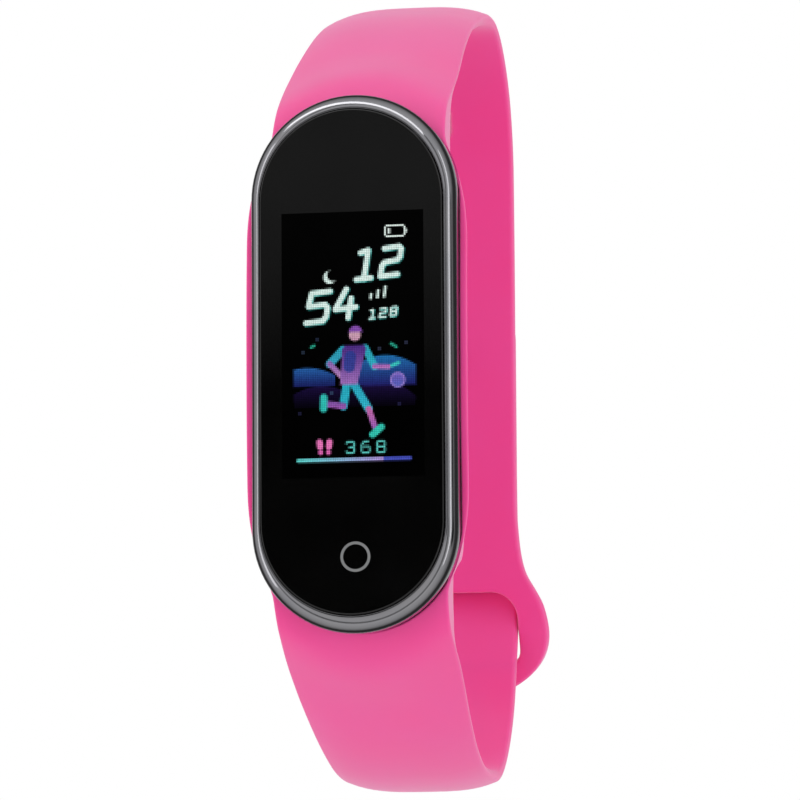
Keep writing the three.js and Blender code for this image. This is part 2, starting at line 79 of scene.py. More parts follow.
glass_low, glass_high = node_box("cover_glass")
GLASS_PLANE = glass_low[1]
glass_half_width, _, glass_half_length = glass_high
pod_half_width, _, pod_half_length = node_box("bezel_ring")[1]
pod_rear = node_box("rear_case")[1][1] - GLASS_PLANE
boss_half_width = pod_half_width - 2.9
boss_half_length = pod_half_length - 3.6
tub_floor = pod_rear - 2.9
cradle_floor = pod_rear - 0.7
strap_thickness = 2.0
HALF = strap_thickness / 2
print("pod", 2 * pod_half_width, "x", 2 * pod_half_length, "x", pod_rear, "mm")


def at_depth(x, depth, z):
    """Points from x, depth behind the glass and z, as one array."""
    x, depth, z = np.broadcast_arrays(x, depth, z)
    return np.stack([x, depth + GLASS_PLANE, z], axis=-1).astype(float)


# %% [markdown]
# ## From arrays to a mesh
#
# Each new piece is a set of points and faces worked out with numpy. A grid of points turns
# into quads by pairing neighbours, and `wrap` says that the last column meets the first.

# %% Mesh helpers
def grid_faces(rows, columns, wrap=True, first=0):
    """Quads of a rows x columns grid, counted row by row from vertex `first`."""
    i = np.arange(rows - 1)[:, None]
    j = np.arange(columns if wrap else columns - 1)[None, :]
    k = (j + 1) % columns
    here, above = i * columns, (i + 1) * columns
    quads = np.stack([here + j, here + k, above + k, above + j], -1)
    return (quads.reshape(-1, 4) + first).tolist()


def new_object(name, data):
    """An object at the origin for a mesh, a camera or a lamp, put into the scene."""
    made = bpy.data.objects.new(name, data)
    bpy.context.scene.collection.objects.link(made)
    return made


def finish_mesh(name, points, faces, sharp=38.0, weld=0.0, cut=None):
    """A smooth-shaded object from points in millimetres, with faces pointing outwards.

    cut, if given, is a step that trims the mesh once its points are welded.
    """
    mesh = bpy.data.meshes.new(name)
    mesh.from_pydata((np.asarray(points) * MM).tolist(), [], faces)
    bm = bmesh.new()
    bm.from_mesh(mesh)
    if cut:
        cut(bm)
    if weld:
        bmesh.ops.remove_doubles(bm, verts=bm.verts, dist=weld * MM)
    bmesh.ops.recalc_face_normals(bm, faces=bm.faces)
    bm.to_mesh(mesh)
    bm.free()
    mesh.shade_smooth()
    mesh.set_sharp_from_angle(angle=math.radians(sharp))
    print(name, len(mesh.polygons), "faces")
    return new_object(name, mesh)


def dress(piece, body, material, replaced=()):
    """Gives a piece its material, its body and the solids that it stands for."""
    piece.data.materials.clear()
    piece.data.materials.append(material)
    if body:
        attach(piece, body)
    if replaced:
        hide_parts(*replaced)
    return piece


# %% [markdown]
# ## Nodes for materials
#
# A procedural material is a small graph. One helper adds a node, sets its values and links
# its inputs, so each material below reads as a short list of steps. Colours are written as
# sRGB hex values, as a paint chart gives them, and one function turns them to linear light.

# %% Material helpers
def srgb(hex_colour):
    """Red, green and blue from 0 to 1, as the hex string gives them."""
    return np.array([int(hex_colour[i:i + 2], 16) for i in (1, 3, 5)]) / 255


def to_linear(values):
    """Linear light: a short straight foot, then the power 2.4 of the shifted value."""
    return np.where(values <= 0.04045, values / 12.92, ((values + 0.055) / 1.055) ** 2.4)


def linear(hex_colour):
    """Linear RGBA from an sRGB hex string."""
    return (*to_linear(srgb(hex_colour)).tolist(), 1.0)


def feed(tree, node, inputs):
    """Sets a node's inputs. Each is a value, or another node's output socket, which is linked."""
    for key, value in inputs.items():
        if isinstance(value, bpy.types.NodeSocket):
            tree.links.new(value, node.inputs[key])
        else:
            node.inputs[key].default_value = value


def add(tree, kind, inputs=None, **settings):
    """Adds a node with its settings and its inputs."""
    node = tree.nodes.new(kind)
    for key, value in settings.items():
        setattr(node, key, value)
    feed(tree, node, inputs or {})
    return node


def new_material(name, **surface):
    """A material with one Principled shader, its node tree and that shader."""
    material = bpy.data.materials.new(name)
    material.use_nodes = True
    tree = material.node_tree
    tree.nodes.clear()
    shader = add(tree, "ShaderNodeBsdfPrincipled", {k.replace("_", " "): v for k, v in surface.items()})
    add(tree, "ShaderNodeOutputMaterial", {"Surface": shader.outputs[0]})
    return material, tree, shader


def object_point(tree):
    """The place on the piece, in metres."""
    return add(tree, "ShaderNodeTexCoord").outputs["Object"]


def noise(tree, point, size_mm, detail=3.0, roughness=0.5):
    """Noise whose lumps are about size_mm across."""
    inputs = {"Vector": point, "Scale": 1 / (size_mm * MM), "Detail": detail, "Roughness": roughness}
    return add(tree, "ShaderNodeTexNoise", inputs).outputs["Fac"]


def spread(tree, factor, low, high, from_low=0.3, from_high=0.7):
    """Maps noise, which stays near its middle, to the range low to high."""
    ends = {"From Min": from_low, "From Max": from_high, "To Min": low, "To Max": high}
    return add(tree, "ShaderNodeMapRange", {"Value": factor, **ends}).outputs["Result"]


def mix(tree, factor, colour_a, colour_b):
    """A colour between two, by a factor."""
    inputs = {0: factor, 6: colour_a, 7: colour_b}
    return add(tree, "ShaderNodeMix", inputs, data_type="RGBA").outputs[2]


def bump(tree, height, height_mm, strength=1.0):
    """Surface relief that is height_mm deep where height runs from 0 to 1."""
    inputs = {"Height": height, "Distance": height_mm * MM, "Strength": strength}
    return add(tree, "ShaderNodeBump", inputs).outputs["Normal"]


def skin(tree, shader, point, tints, cloud, wear, grain=None):
    """Colour that drifts between two tints, uneven gloss and, if given, a fine relief.

    cloud is (lump size, detail), wear is (lowest, highest roughness, lump size, detail) and
    grain is (lump size, depth, strength, detail).
    """
    lowest, highest, *wear_lumps = wear
    tone = spread(tree, noise(tree, point, *cloud), 0.0, 1.0)
    sockets = {
        "Base Color": mix(tree, tone, *map(linear, tints)),
        "Roughness": spread(tree, noise(tree, point, *wear_lumps), lowest, highest),
    }
    if grain:
        size_mm, depth_mm, strength, detail = grain
        sockets["Normal"] = bump(tree, noise(tree, point, size_mm, detail), depth_mm, strength)
    feed(tree, shader, sockets)


# %% [markdown]
# ## Silicone
#
# The strap is liquid silicone rubber, injection moulded in a spark-eroded tool. The tool's
# fine grain gives a matte skin with a soft, wide sheen, and the pigment goes right through.
# Light enters a little, so thin edges and creases stay warm instead of going grey. A fine
# noise makes the grain, about 0.06 mm, drawn a little coarser so that it shows, and a slow
# noise varies how matte it is, as handling does.

# %% Silicone
def moulded_silicone():
    """Matte skin with a soft sheen, which lets a little light in."""
    material, tree, shader = new_material(
        "liquid_silicone_moulded_matte",
        IOR=1.41,
        Subsurface_Weight=0.12,
        Subsurface_Scale=0.0012,
        Sheen_Weight=0.42,
        Sheen_Roughness=0.6,
        Coat_Weight=0.5,
        Coat_Roughness=0.5,
    )
    feed(tree, shader, {"Subsurface Radius": (1.0, 0.25, 0.45), "Sheen Tint": (1.0, 0.82, 1.0, 1.0)})
    handling, spark_grain = (0.50, 0.60, 3.5, 4.0), (0.16, 0.004, 0.6, 2.0)
    skin(tree, shader, object_point(tree), ("#f0208b", "#ee2a90"), (9.0, 2.0), handling, spark_grain)
    return material


silicone = moulded_silicone()

# %% [markdown]
# ## The strap's path
#
# Seen from the side, the strap is a ribbon that follows one smooth curve. A few stations
# give its middle surface: a depth, a height and a heading. Between two stations runs a
# Hermite curve, which meets both places and both headings, so the ribbon has no kinks.

# %% The path seen from the side
TAIL_TOP = 12.2
REAR = 43.6  # middle of the hole-side strap at the rear
TAIL = REAR + strap_thickness + 0.35  # middle of the free end, lying on it
BAR = 44.0 + strap_thickness + 0.5  # middle of the bar below the slot
L = pod_half_length
stations = np.array([
    (TAIL, TAIL_TOP, -180),
    (TAIL, -5, -180),
    (TAIL + 0.35, -13.2, -180),
    (TAIL - 0.2, -16.9, -163),
    (44.0, -22.7, -163),
    (42.8, -26.6, -159),
    (34.3, -L - 10.95, -92),
    (25.0, -L - 9.95, -73),
    (7.8, -L + 1.0, -40),
    (4.8, -L + 5.5, -14),
    (3.3, 0, 0),
    (4.8, L - 5.5, 14),
    (7.8, L - 0.8, 40),
    (25.1, L + 10.6, 73),
    (34.8, L + 12.55, 93),
    (REAR, L - 0.5, 179),
    (REAR, -10, 180),
    (REAR + 0.1, -15.5, 178),
    (BAR, -23.4, 160),
    (BAR + 0.75, -26.4, 172),
])


def hermite(t, a, b, u, v):
    """The cubic that leaves a with velocity u at t = 0 and reaches b with velocity v at t = 1."""
    curve = (2 * t**3 - 3 * t**2 + 1) * a + (t**3 - 2 * t**2 + t) * u
    return curve + (3 * t**2 - 2 * t**3) * b + (t**3 - t**2) * v


def hermite_path(stations, steps):
    """Points of the curve through all stations, `steps` to each stretch."""
    place = stations[:, :2]
    heading = np.radians(stations[:, 2])
    chord = np.linalg.norm(np.diff(place, axis=0), axis=1)[:, None, None]
    way = np.stack([np.sin(heading), np.cos(heading)], -1)
    t = np.linspace(0, 1, steps, endpoint=False)[None, :, None]
    curve = hermite(t, place[:-1, None], place[1:, None], way[:-1, None] * chord, way[1:, None] * chord)
    return np.vstack([curve.reshape(-1, 2), place[-1:]])


PATH_STEPS = 60
path = hermite_path(stations, PATH_STEPS)
travel = np.concatenate([[0], np.cumsum(np.linalg.norm(np.diff(path, axis=0), axis=1))])
pod_station = int(np.flatnonzero(stations[:, 1] == 0)[0])
travel -= travel[pod_station * PATH_STEPS]  # arc length from the pod's centre
slope = np.gradient(path, travel, axis=0)
slope /= np.linalg.norm(slope, axis=1)[:, None]
S_START, S_END = travel[0], travel[-1]
print(f"the strap is {S_END - S_START:.1f} mm long")


def along(s):
    """Depth, height and the outward normal's two parts at arc length s."""
    depth, z = np.interp(s, travel, path[:, 0]), np.interp(s, travel, path[:, 1])
    tx, tz = np.interp(s, travel, slope[:, 0]), np.interp(s, travel, slope[:, 1])
    size = np.hypot(tx, tz)
    return depth, z, -tz / size, tx / size


def height_at(z, low, high):
    """Arc length at which the stretch from low to high passes height z."""
    inside = (travel >= low) & (travel <= high)
    order = np.argsort(path[inside, 1])
    return float(np.interp(z, path[inside, 1][order], travel[inside][order]))


# %% [markdown]
# ## Widths and thickness along the strap
#
# Two outlines meet at the pod: the oval lip round the pocket and the plain ribbon. The
# strap is as wide as the wider of the two, with a small round where they cross. Lists of a
# few widths are joined by a monotone cubic, a smooth curve that never overshoots.

# %% Widths and thickness
def smooth_table(rows):
    """A function that runs smoothly through rows of (place, value) without overshoot."""
    x, y = np.array(rows, float).T
    d = np.diff(y) / np.diff(x)
    m = np.concatenate([[d[0]], (d[:-1] + d[1:]) / 2, [d[-1]]])
    m[1:-1][d[:-1] * d[1:] <= 0] = 0
    limit = 3 * np.minimum(np.abs(np.concatenate([[d[0]], d])), np.abs(np.concatenate([d, [d[-1]]])))
    m = np.clip(m, -limit, limit)

    def value(s):
        """The table's value at each place in s, held level beyond its ends."""
        s = np.clip(s, x[0], x[-1])
        i = np.clip(np.searchsorted(x, s) - 1, 0, len(x) - 2)
        h = x[i + 1] - x[i]
        return hermite((s - x[i]) / h, y[i], y[i + 1], h * m[i], h * m[i + 1])

    return value


HOLE_RUN = (70, S_END)  # arc lengths of the straight part with the holes, and of the head
FREE_RUN = (S_START, -60)  # arc lengths of the free end
FAR = 200  # past both ends of the strap
head_from = height_at(-10.5, *HOLE_RUN)
head_widest = height_at(-19.8, *HOLE_RUN)
slot_pass = -height_at(-19.6, *FREE_RUN)
STRAP_HALF = 7.7
LIP_HALF = pod_half_width + 0.7
TAIL_HALF = 6.95
ribbon_up = smooth_table([
    (0, STRAP_HALF + 0.1), (L - 4, STRAP_HALF), (L, STRAP_HALF - 0.05), (L + 3.5, STRAP_HALF),
    (L + 7.5, STRAP_HALF - 0.1), (L + 11.5, STRAP_HALF - 0.3), (L + 19.5, STRAP_HALF - 0.6),
    (L + 29.5, STRAP_HALF - 0.75), (L + 42.5, STRAP_HALF - 0.46), (head_from - 2, 7.32),
    (head_from, 7.42), (head_from + 3, 7.78), (head_from + 4.4, 8.2), (head_from + 5.8, 9.0),
    (head_from + 7.0, 9.6), (head_from + 8.5, 9.95), (head_widest, 10.05),
])
ribbon_down = smooth_table([
    (0, STRAP_HALF + 0.1), (L - 4, STRAP_HALF), (L, STRAP_HALF - 0.05), (L + 3.5, STRAP_HALF),
    (L + 7.5, STRAP_HALF - 0.1), (L + 11.5, STRAP_HALF - 0.3), (L + 19.5, STRAP_HALF - 0.65),
    (L + 29.5, STRAP_HALF - 0.8), (slot_pass - 8, 7.1), (slot_pass, 7.15),
    (slot_pass + 8, TAIL_HALF), (FAR, TAIL_HALF),
])


def round_end(s, end, length, power):
    """1 along the strap, falling to 0 at its end as a superellipse of that length."""
    u = np.clip(1 - np.abs(end - s) / length, 0, 1)
    return (1 - u**power) ** (1 / power)


def body_half_width(s):
    """Half the strap's width at its outer face, as if its ends were not rounded."""
    s = np.asarray(s, float)
    ribbon = np.where(s < 0, ribbon_down(-s), ribbon_up(s))
    lip = LIP_HALF - 1.85 * (np.clip(np.abs(s) - (L - 13.5), 0, None) / 8.7) ** 2.5
    blend = 0.25
    wide = 0.5 * (ribbon + lip + np.sqrt((ribbon - lip) ** 2 + blend**2)) - 0.02
    return np.where(np.abs(s) > L, ribbon, wide)


def half_width(s):
    """Half the strap's width at its outer face, with both ends rounded off."""
    wide = body_half_width(s)
    wide = wide * np.where(s > head_widest, round_end(s, S_END, S_END - head_widest, 2.2), 1)
    return wide * np.where(s < S_START + 5, round_end(s, S_START, 5.0, 2.4), 1)


FLOOR = cradle_floor - 3.3
INNER_HALF = 0.85
inner_depth_table = smooth_table([
    (0, FLOOR), (L - 13.5, FLOOR), (L - 10, FLOOR - 0.1), (L - 7.7, FLOOR - 0.5), (L - 6, FLOOR - 1.2),
    (L - 4.8, FLOOR - 1.9), (L - 3.5, FLOOR - 2.8), (L, HALF + 2.1), (L + 3.5, HALF + 0.75),
    (L + 7.5, HALF), (L + 11.5, INNER_HALF), (FAR, INNER_HALF),
])
taper_table = smooth_table([
    (0, 0.163), (L - 13.5, 0.163), (L - 7.7, 0.136), (L - 4.8, 0.06), (L, 0.06), (L + 7.5, 0.075),
    (L + 18, 0.075), (L + 32, 0.02), (FAR, 0.02),
])
EDGE_DROP = 0.95  # how far the ribbon's edges lie below its middle
CROWN_POWER = 3.4  # the crown stays nearly flat in the middle and falls towards the edges
THIN_POWER = 3
collar_table = smooth_table([
    (0, 0), (9, 0), (15, 0.35), (19, 0.9), (L, 1.6), (L + 6, 1.6), (L + 16, 0), (FAR, 0),
])
edge_drop_table = smooth_table([
    (0, 0), (L - 6, 0), (L + 1, 0.25), (L + 7, 0.7), (L + 14, EDGE_DROP), (FAR, EDGE_DROP),
])
edge_thin_table = smooth_table([
    (0, 0), (L - 3.5, 0), (L - 1, 0.6), (L + 2, 1.5), (L + 4.5, 0.9), (L + 8, 0.15), (L + 11.5, 0),
    (FAR, 0),
])


def collar(s, x, z):
    """How far the outer face rises to hug the pod's round ends.

    The table's value at s, times a bell curve of the distance from the pod's outline.
    """
    past_straight = np.clip(np.abs(z) - (pod_half_length - pod_half_width), 0, None)
    away = np.hypot(x, past_straight) - pod_half_width
    return collar_table(np.abs(s)) * np.exp(-((np.clip(away, 0, None) / 3.4) ** 2))


def place(s, x, side, inset=0.0):
    """Points of the strap at arc length s and x across, on its outer (side 1) or inner face (-1).

    inset moves a point from its face into the wall. The outer face falls from its middle to
    its edges by the crown, the inner face rises to thin edges round the pod's ends, and the
    sides draw in by the local taper.
    """
    depth, z, out_depth, out_z = along(s)
    inner = inner_depth_table(np.abs(s))
    share = np.where(side > 0, inset, HALF + inner - inset) / (HALF + inner)
    outwards = np.clip(np.abs(x) / body_half_width(s), 0, 1)
    crown = edge_drop_table(np.abs(s)) * outwards**CROWN_POWER
    thin = edge_thin_table(np.abs(s)) * outwards**THIN_POWER
    height = np.where(side > 0, HALF - crown + collar(s, x, z) - inset, inset + thin - inner)
    across = x * (1 - taper_table(np.abs(s)) * share)
    return at_depth(across, depth + out_depth * height, z + out_z * height)


print("half-widths at the pod, the corner and the head:", half_width(np.array([0, 19.0, head_widest])))

# %% [markdown]
# ## A ribbon with openings
#
# The strap could be a swept section cut by boolean tools, but cuts leave hard edges and
# ragged shading. A moulded ribbon is better made flat, as a plan with openings, and then
# bent. Each rim in the plan gets a strip of rings that rounds the edge over a quarter
# circle. What is left inside is filled with even triangles, and then every point is
# carried onto the curved path. The outer and the inner face come from the same plan.

# %% Plans with openings
RIM_RINGS = 5


def resample(loop, spacing):
    """A closed loop's points, moved to an even spacing."""
    closed = np.vstack([loop, loop[:1]])
    length = np.concatenate([[0], np.cumsum(np.linalg.norm(np.diff(closed, axis=0), axis=1))])
    n = int(round(length[-1] / spacing))
    t = np.linspace(0, length[-1], n, endpoint=False)
    return np.stack([np.interp(t, length, closed[:, k]) for k in (0, 1)], -1)


def loop_normals(loop):
    """Unit vectors to the left of a closed loop's direction of travel."""
    d = np.roll(loop, -1, 0) - np.roll(loop, 1, 0)
    n = np.stack([-d[:, 1], d[:, 0]], -1)
    return n / np.linalg.norm(n, axis=1)[:, None]


def inside_loop(points, loop):
    """True for points inside a closed loop, by counting the edges that a ray crosses."""
    a, b = loop, np.roll(loop, -1, 0)
    x, y = points[:, 0:1], points[:, 1:2]
    spans = (a[None, :, 1] > y) != (b[None, :, 1] > y)
    rise = np.where(b[:, 1] == a[:, 1], 1e-12, b[:, 1] - a[:, 1])
    cross = a[None, :, 0] + (y - a[None, :, 1]) * (b[:, 0] - a[:, 0]) / rise
    return (np.sum(spans & (x < cross), axis=1) % 2) == 1


def in_plan(points, loops):
    """True for points inside the first loop and outside the others."""
    keep = inside_loop(points, loops[0])
    for hole in loops[1:]:
        keep &= ~inside_loop(points, hole)
    return keep


def fill_plan(loops, spacing):
    """Even triangles inside the first loop and outside the others."""
    rim = np.vstack(loops)
    low, high = rim.min(0), rim.max(0)
    rows = np.arange(low[1], high[1], spacing * 0.866)
    grid = np.stack(np.meshgrid(np.arange(low[0], high[0], spacing), rows), -1)
    grid[1::2, :, 0] += spacing / 2
    grid = grid.reshape(-1, 2)
    grid = grid[in_plan(grid, loops)]
    near = np.min((grid[:, :1] - rim[:, 0]) ** 2 + (grid[:, 1:] - rim[:, 1]) ** 2, axis=1)
    grid = grid[near > (0.55 * spacing) ** 2]
    edges, first = [], 0
    for loop in loops:
        i = np.arange(len(loop))
        edges += np.stack([first + i, first + (i + 1) % len(loop)], -1).tolist()
        first += len(loop)
    points = [Vector(p) for p in np.vstack([rim, grid])]
    found, _, faces, _, _, _ = delaunay_2d_cdt(points, edges, [], 1, 1e-7)
    found = np.array([tuple(p) for p in found])
    faces = np.array([f for f in faces if len(f) == 3])
    return found, faces[in_plan(found[faces].mean(1), loops)]


def strap_body(outline, holes, radius, hole_radius, spacing=0.75, pocket=None):
    """Points and faces of a strap whose plan is an outline with holes.

    outline is an anticlockwise loop of (arc length, across), and holes are pairs of clockwise
    loops, on the outer and on the inner face. radius and hole_radius round their rims.
    pocket, if given, is (outer loop, inner loop, rings between them), an opening that narrows
    on its way in.
    """
    points, faces, lengths = [], [], []
    walls = [(outline, outline, radius)] + [(outer, inner, hole_radius) for outer, inner in holes]
    turn = np.linspace(0, math.pi / 2, RIM_RINGS + 1)

    def add_rows(rows, s):
        """Adds closed rings of points at the arc lengths s, and the quads between them."""
        faces.extend(grid_faces(len(rows), len(s), True, sum(len(p) for p in points)))
        points.extend(rows)
        lengths.extend([s] * len(rows))

    for side in (1, -1):
        flat_loops = []
        own = [(outer if side > 0 else inner, r) for outer, inner, r in walls]
        if pocket is not None:
            own.append((pocket[0] if side > 0 else pocket[1], pocket[3]))
        for loop, r in own:
            r = r(loop[:, 0]) if callable(r) else np.full(len(loop), r)
            inward = loop_normals(loop)
            rows = []
            for t in turn:
                at = loop + inward * (r * (1 - math.cos(t)))[:, None]
                rows.append(place(at[:, 0], at[:, 1], side, r * (1 - math.sin(t))))
            add_rows(rows, loop[:, 0])
            flat_loops.append(loop + inward * r[:, None])
        found, triangles = fill_plan(flat_loops, spacing)
        first = sum(len(p) for p in points)
        points.append(place(found[:, 0], found[:, 1], side))
        lengths.append(found[:, 0])
        faces.extend((triangles + first).tolist())
    for outer, inner, r in walls:
        r = r(outer[:, 0]) if callable(r) else np.full(len(outer), r)
        add_rows([place(*outer.T, 1, r), place(*inner.T, -1, r)], outer[:, 0])
    if pocket is not None:
        outer, inner, between, r = pocket
        add_rows([place(*outer.T, 1, r), *between, place(*inner.T, -1, r)], outer[:, 0])
    return np.vstack(points), faces, np.concatenate(lengths)


def seam_cut(lengths, s, keep_below):
    """A step that cuts a strap square across at arc length s and closes the cut.

    Only the stretch near s is cut, since the plane also meets other parts of the loop.
    """
    depth, z, out_depth, out_z = along(s)
    centre = Vector(at_depth(0, depth, z)) * MM
    forward = Vector((0, out_z, -out_depth))
    near = set(np.flatnonzero(np.abs(lengths - s) < 5).tolist())

    def cut(bm):
        """Closes the doubled points near the plane, then cuts and fills there."""
        bm.verts.ensure_lookup_table()
        local = {v for v in bm.verts if v.index in near}
        bmesh.ops.remove_doubles(bm, verts=list(local), dist=0.002 * MM)
        local = {v for v in local if v.is_valid}
        geometry = [f for f in bm.faces if all(v in local for v in f.verts)]
        edges = list({e for f in geometry for e in f.edges})
        geometry += edges + list({v for f in geometry for v in f.verts})
        made = bmesh.ops.bisect_plane(
            bm, geom=geometry, plane_co=centre, plane_no=forward,
            clear_outer=keep_below, clear_inner=not keep_below,
        )
        edges = [e for e in made["geom_cut"] if isinstance(e, bmesh.types.BMEdge)]
        bmesh.ops.holes_fill(bm, edges=edges)

    return cut


# %% [markdown]
# ## Strap with cradle, holes and slotted head
#
# The first piece is nearly the whole strap: from behind the slot, past the pod and up to
# the slotted head. The pod's pocket opens wide at the front. Its rim follows where the
# pod's flank meets the strap's curved face, which a few rounds of looking up the strap's
# depth and the pod's width at that depth settle.

# %% Strap
def outline_between(s0, s1, spacing=0.45):
    """The strap's outline from s0 to s1, anticlockwise, with arc length first."""
    t = 0.5 - 0.5 * np.cos(np.linspace(0, math.pi, 1400))
    s = s0 + (s1 - s0) * t
    w = half_width(s)
    loop = np.vstack([np.stack([s, -w], -1), np.stack([s[::-1], w[::-1]], -1)])
    return resample(loop, spacing)


def oval(s0, x0, length, width, n=40):
    """A clockwise oval hole: two half circles joined by straight sides."""
    t = -np.linspace(0, 2 * math.pi, n, endpoint=False)
    straight = (length - width) / 2
    s = width / 2 * np.cos(t) + np.where(np.cos(t) >= 0, straight, -straight)
    return resample(np.stack([s0 + s, x0 + width / 2 * np.sin(t)], -1), 0.28)


def slot_loop(z_top, z_bottom, half, r_top, r_bottom):
    """The slot in the head, clockwise: a rectangle with a big and a small corner radius."""
    s_top, s_low = height_at(z_top, *HOLE_RUN), height_at(z_bottom, *HOLE_RUN)
    q = np.linspace(0, math.pi / 2, 12)
    s_top, s_low = s_top + r_top, s_low - r_bottom
    corners = [
        (s_top, half - r_top, r_top, math.pi), (s_low, half - r_bottom, r_bottom, math.pi / 2),
        (s_low, -half + r_bottom, r_bottom, 0), (s_top, -half + r_top, r_top, -math.pi / 2),
    ]
    parts = [np.stack([s + r * np.cos(a - q), x + r * np.sin(a - q)], -1) for s, x, r, a in corners]
    return resample(np.vstack(parts), 0.4)


def pill_plan(arc_points=44, side_points=40):
    """A pill's shape in three parts: side to side, along the straight, and up the round ends."""
    angle = np.linspace(0, math.pi, arc_points, endpoint=False)
    run = np.linspace(1, -1, side_points, endpoint=False)
    across = np.concatenate([np.cos(angle), -np.ones(side_points)])
    straight = np.concatenate([np.ones(arc_points), run])
    up = np.concatenate([np.sin(angle), np.zeros(side_points)])
    return [np.concatenate([part, -part]) for part in (across, straight, up)]


PILL_ACROSS, PILL_STRAIGHT, PILL_UP = pill_plan()


def pill_points(w, l):
    """A pill outline of half-width w and half-length l, anticlockwise with x right and z up."""
    return w * PILL_ACROSS, (l - w) * PILL_STRAIGHT + w * PILL_UP


SEAT = 0.2  # the rubber's clearance round the pod
BOSS_SEAT = 0.3  # and round its boss
pocket_levels = [
    (3.4, pod_half_width - 0.35 + SEAT, pod_half_length - 0.3 + SEAT),
    (tub_floor + SEAT, pod_half_width - 1.6 + SEAT, pod_half_length - 0.9 + SEAT),
]
boss_level = (tub_floor + SEAT, boss_half_width + BOSS_SEAT, boss_half_length + BOSS_SEAT)


def outer_depth_at(z):
    """Depth of the strap's front face at height z, near the pod."""
    s = np.linspace(-L - 3, L + 3, 600)
    p = place(s, 0 * s, 1)
    return np.interp(z, p[:, 2], p[:, 1] - GLASS_PLANE)


def arc_length_at(z, side):
    """Arc length at which the strap's outer or inner face is at height z, near the pod."""
    s = np.linspace(-L - 4, L + 4, 800)
    return np.interp(z, place(s, 0 * s, side)[:, 2], s)


def pocket_opening():
    """The pocket's rim on the strap's front face."""
    (d0, w0, l0), (d1, w1, l1) = pocket_levels
    depth = np.full(len(PILL_UP), d0)
    for _ in range(12):
        u = np.clip((depth - d0) / (d1 - d0), 0, 1)
        above = np.clip((d0 - depth) / 0.8, 0, 1)  # the seat widens towards the rim
        w = w0 + (w1 - w0) * u + 0.2 * above
        l = l0 + (l1 - l0) * u + 0.15 * above
        x, z = pill_points(w, l)
        depth = outer_depth_at(z)
    return x, z


x_open, z_open = pocket_opening()
pocket_outer = np.stack([arc_length_at(z_open, 1.0), x_open], -1)
x_boss, z_boss = pill_points(*boss_level[1:])
s_boss = arc_length_at(z_boss, -1.0)
pocket_inner = np.stack([s_boss, x_boss / (1 - taper_table(np.abs(s_boss)))], -1)
between = []
for depth, w, l in (pocket_levels[1], boss_level):
    x, z = pill_points(w, l)
    between.append(at_depth(x, depth, z))

HOLE_WIDTH, HOLE_LENGTH, HOLE_PITCH, HOLE_COUNT = 3.2, 4.4, 7.7, 6
STUD_Z = 5.1
stud_s = height_at(STUD_Z, *HOLE_RUN)
HOLE_DRAFT = 0.6  # each hole is dished, wide on the skin side so that the stud's head sinks in


def dished(loop, draft):
    """A hole's loops on the outer and on the inner face, the outer one smaller all round."""
    return loop - draft * loop_normals(loop), loop


hole_places = stud_s + (2 - np.arange(HOLE_COUNT)) * HOLE_PITCH
holes = [dished(oval(s, 0, HOLE_LENGTH, HOLE_WIDTH), HOLE_DRAFT) for s in hole_places]
slot = slot_loop(-16.4, -23.0, 7.3, 2.4, 1.6)
seam_s = height_at(-23.6, *FREE_RUN)
HIDDEN = 3.0  # each piece is made a little past the seam and cut back to it
EDGE_ROUND, LIP_ROUND = 0.32, 0.24  # the radius of the ribbon's edge and of the lip's


def rim_radius(s):
    """The rounding of the strap's edge: full on the ribbon, small on the thin lip."""
    u = np.clip((np.abs(s) - (L - 8)) / 8, 0, 1)
    return LIP_ROUND + (EDGE_ROUND - LIP_ROUND) * u * u * (3 - 2 * u)


points, faces, lengths = strap_body(
    outline_between(seam_s - HIDDEN, S_END), holes + [(slot, slot)], rim_radius, 0.3,
    pocket=(pocket_outer, pocket_inner, between, 0.12),
)
cut = seam_cut(lengths, seam_s, keep_below=False)
strap = finish_mesh("strap", points, faces, weld=0.002, cut=cut)
dress(strap, "strap", silicone, ("strap_cradle", "strap_hole_side", "strap_stud_side"))

# %% [markdown]
# ## Free end
#
# The rest of the same moulding passes through the slot and lies on the outside. It is a
# piece of its own, which meets the strap at a seam: below the slot it follows the strap,
# above it the tail, and in between it turns smoothly.

# %% Free end
stud_hole = oval(height_at(STUD_Z, *FREE_RUN), 0, 2.5, 2.5)
points, faces, lengths = strap_body(
    outline_between(S_START, seam_s + HIDDEN), [(stud_hole, stud_hole)], EDGE_ROUND, 0.15,
)
cut = seam_cut(lengths, seam_s, keep_below=True)
free_end = finish_mesh("strap_free_end", points, faces, weld=0.002, cut=cut)
dress(free_end, None, silicone)
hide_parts("strap_tail")
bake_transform(free_end)

# %% [markdown]
# ## Dark chrome, glass and black plastic
#
# The rim is zinc or steel, polished and then coated in a vacuum with a dark metal film, so
# it mirrors the room in smoky grey. The glass is polished float glass printed black behind.
# The case is moulded polycarbonate with a fine spark grain.

# %% Pod materials
def dark_chrome():
    """A mirror in smoky grey, with the faint haze of handling."""
    material, tree, shader = new_material("polished_steel_dark_vacuum_film", Metallic=1.0)
    skin(tree, shader, object_point(tree), ("#949499", "#9d9c9f"), (6.0, 2.0), (0.09, 0.13, 1.2, 4.0))
    return material


def black_glass(name, tint, low, high, **surface):
    """Deep black under a clear gloss, with roughness from low to high."""
    material, tree, shader = new_material(name, IOR=1.52, **surface)
    skin(tree, shader, object_point(tree), (tint, "#020202"), (7.0, 3.0), (low, high, 4.0, 4.0))
    return material


def grained_plastic(name, tints, low, high, grain_mm=0.12, depth_mm=0.004):
    """Satin plastic or rubber with a fine moulded grain."""
    material, tree, shader = new_material(name, IOR=1.58)
    grain = (grain_mm, depth_mm, 0.5, 2.0)
    skin(tree, shader, object_point(tree), tints, (5.0, 3.0), (low, high, 2.0, 4.0), grain)
    return material


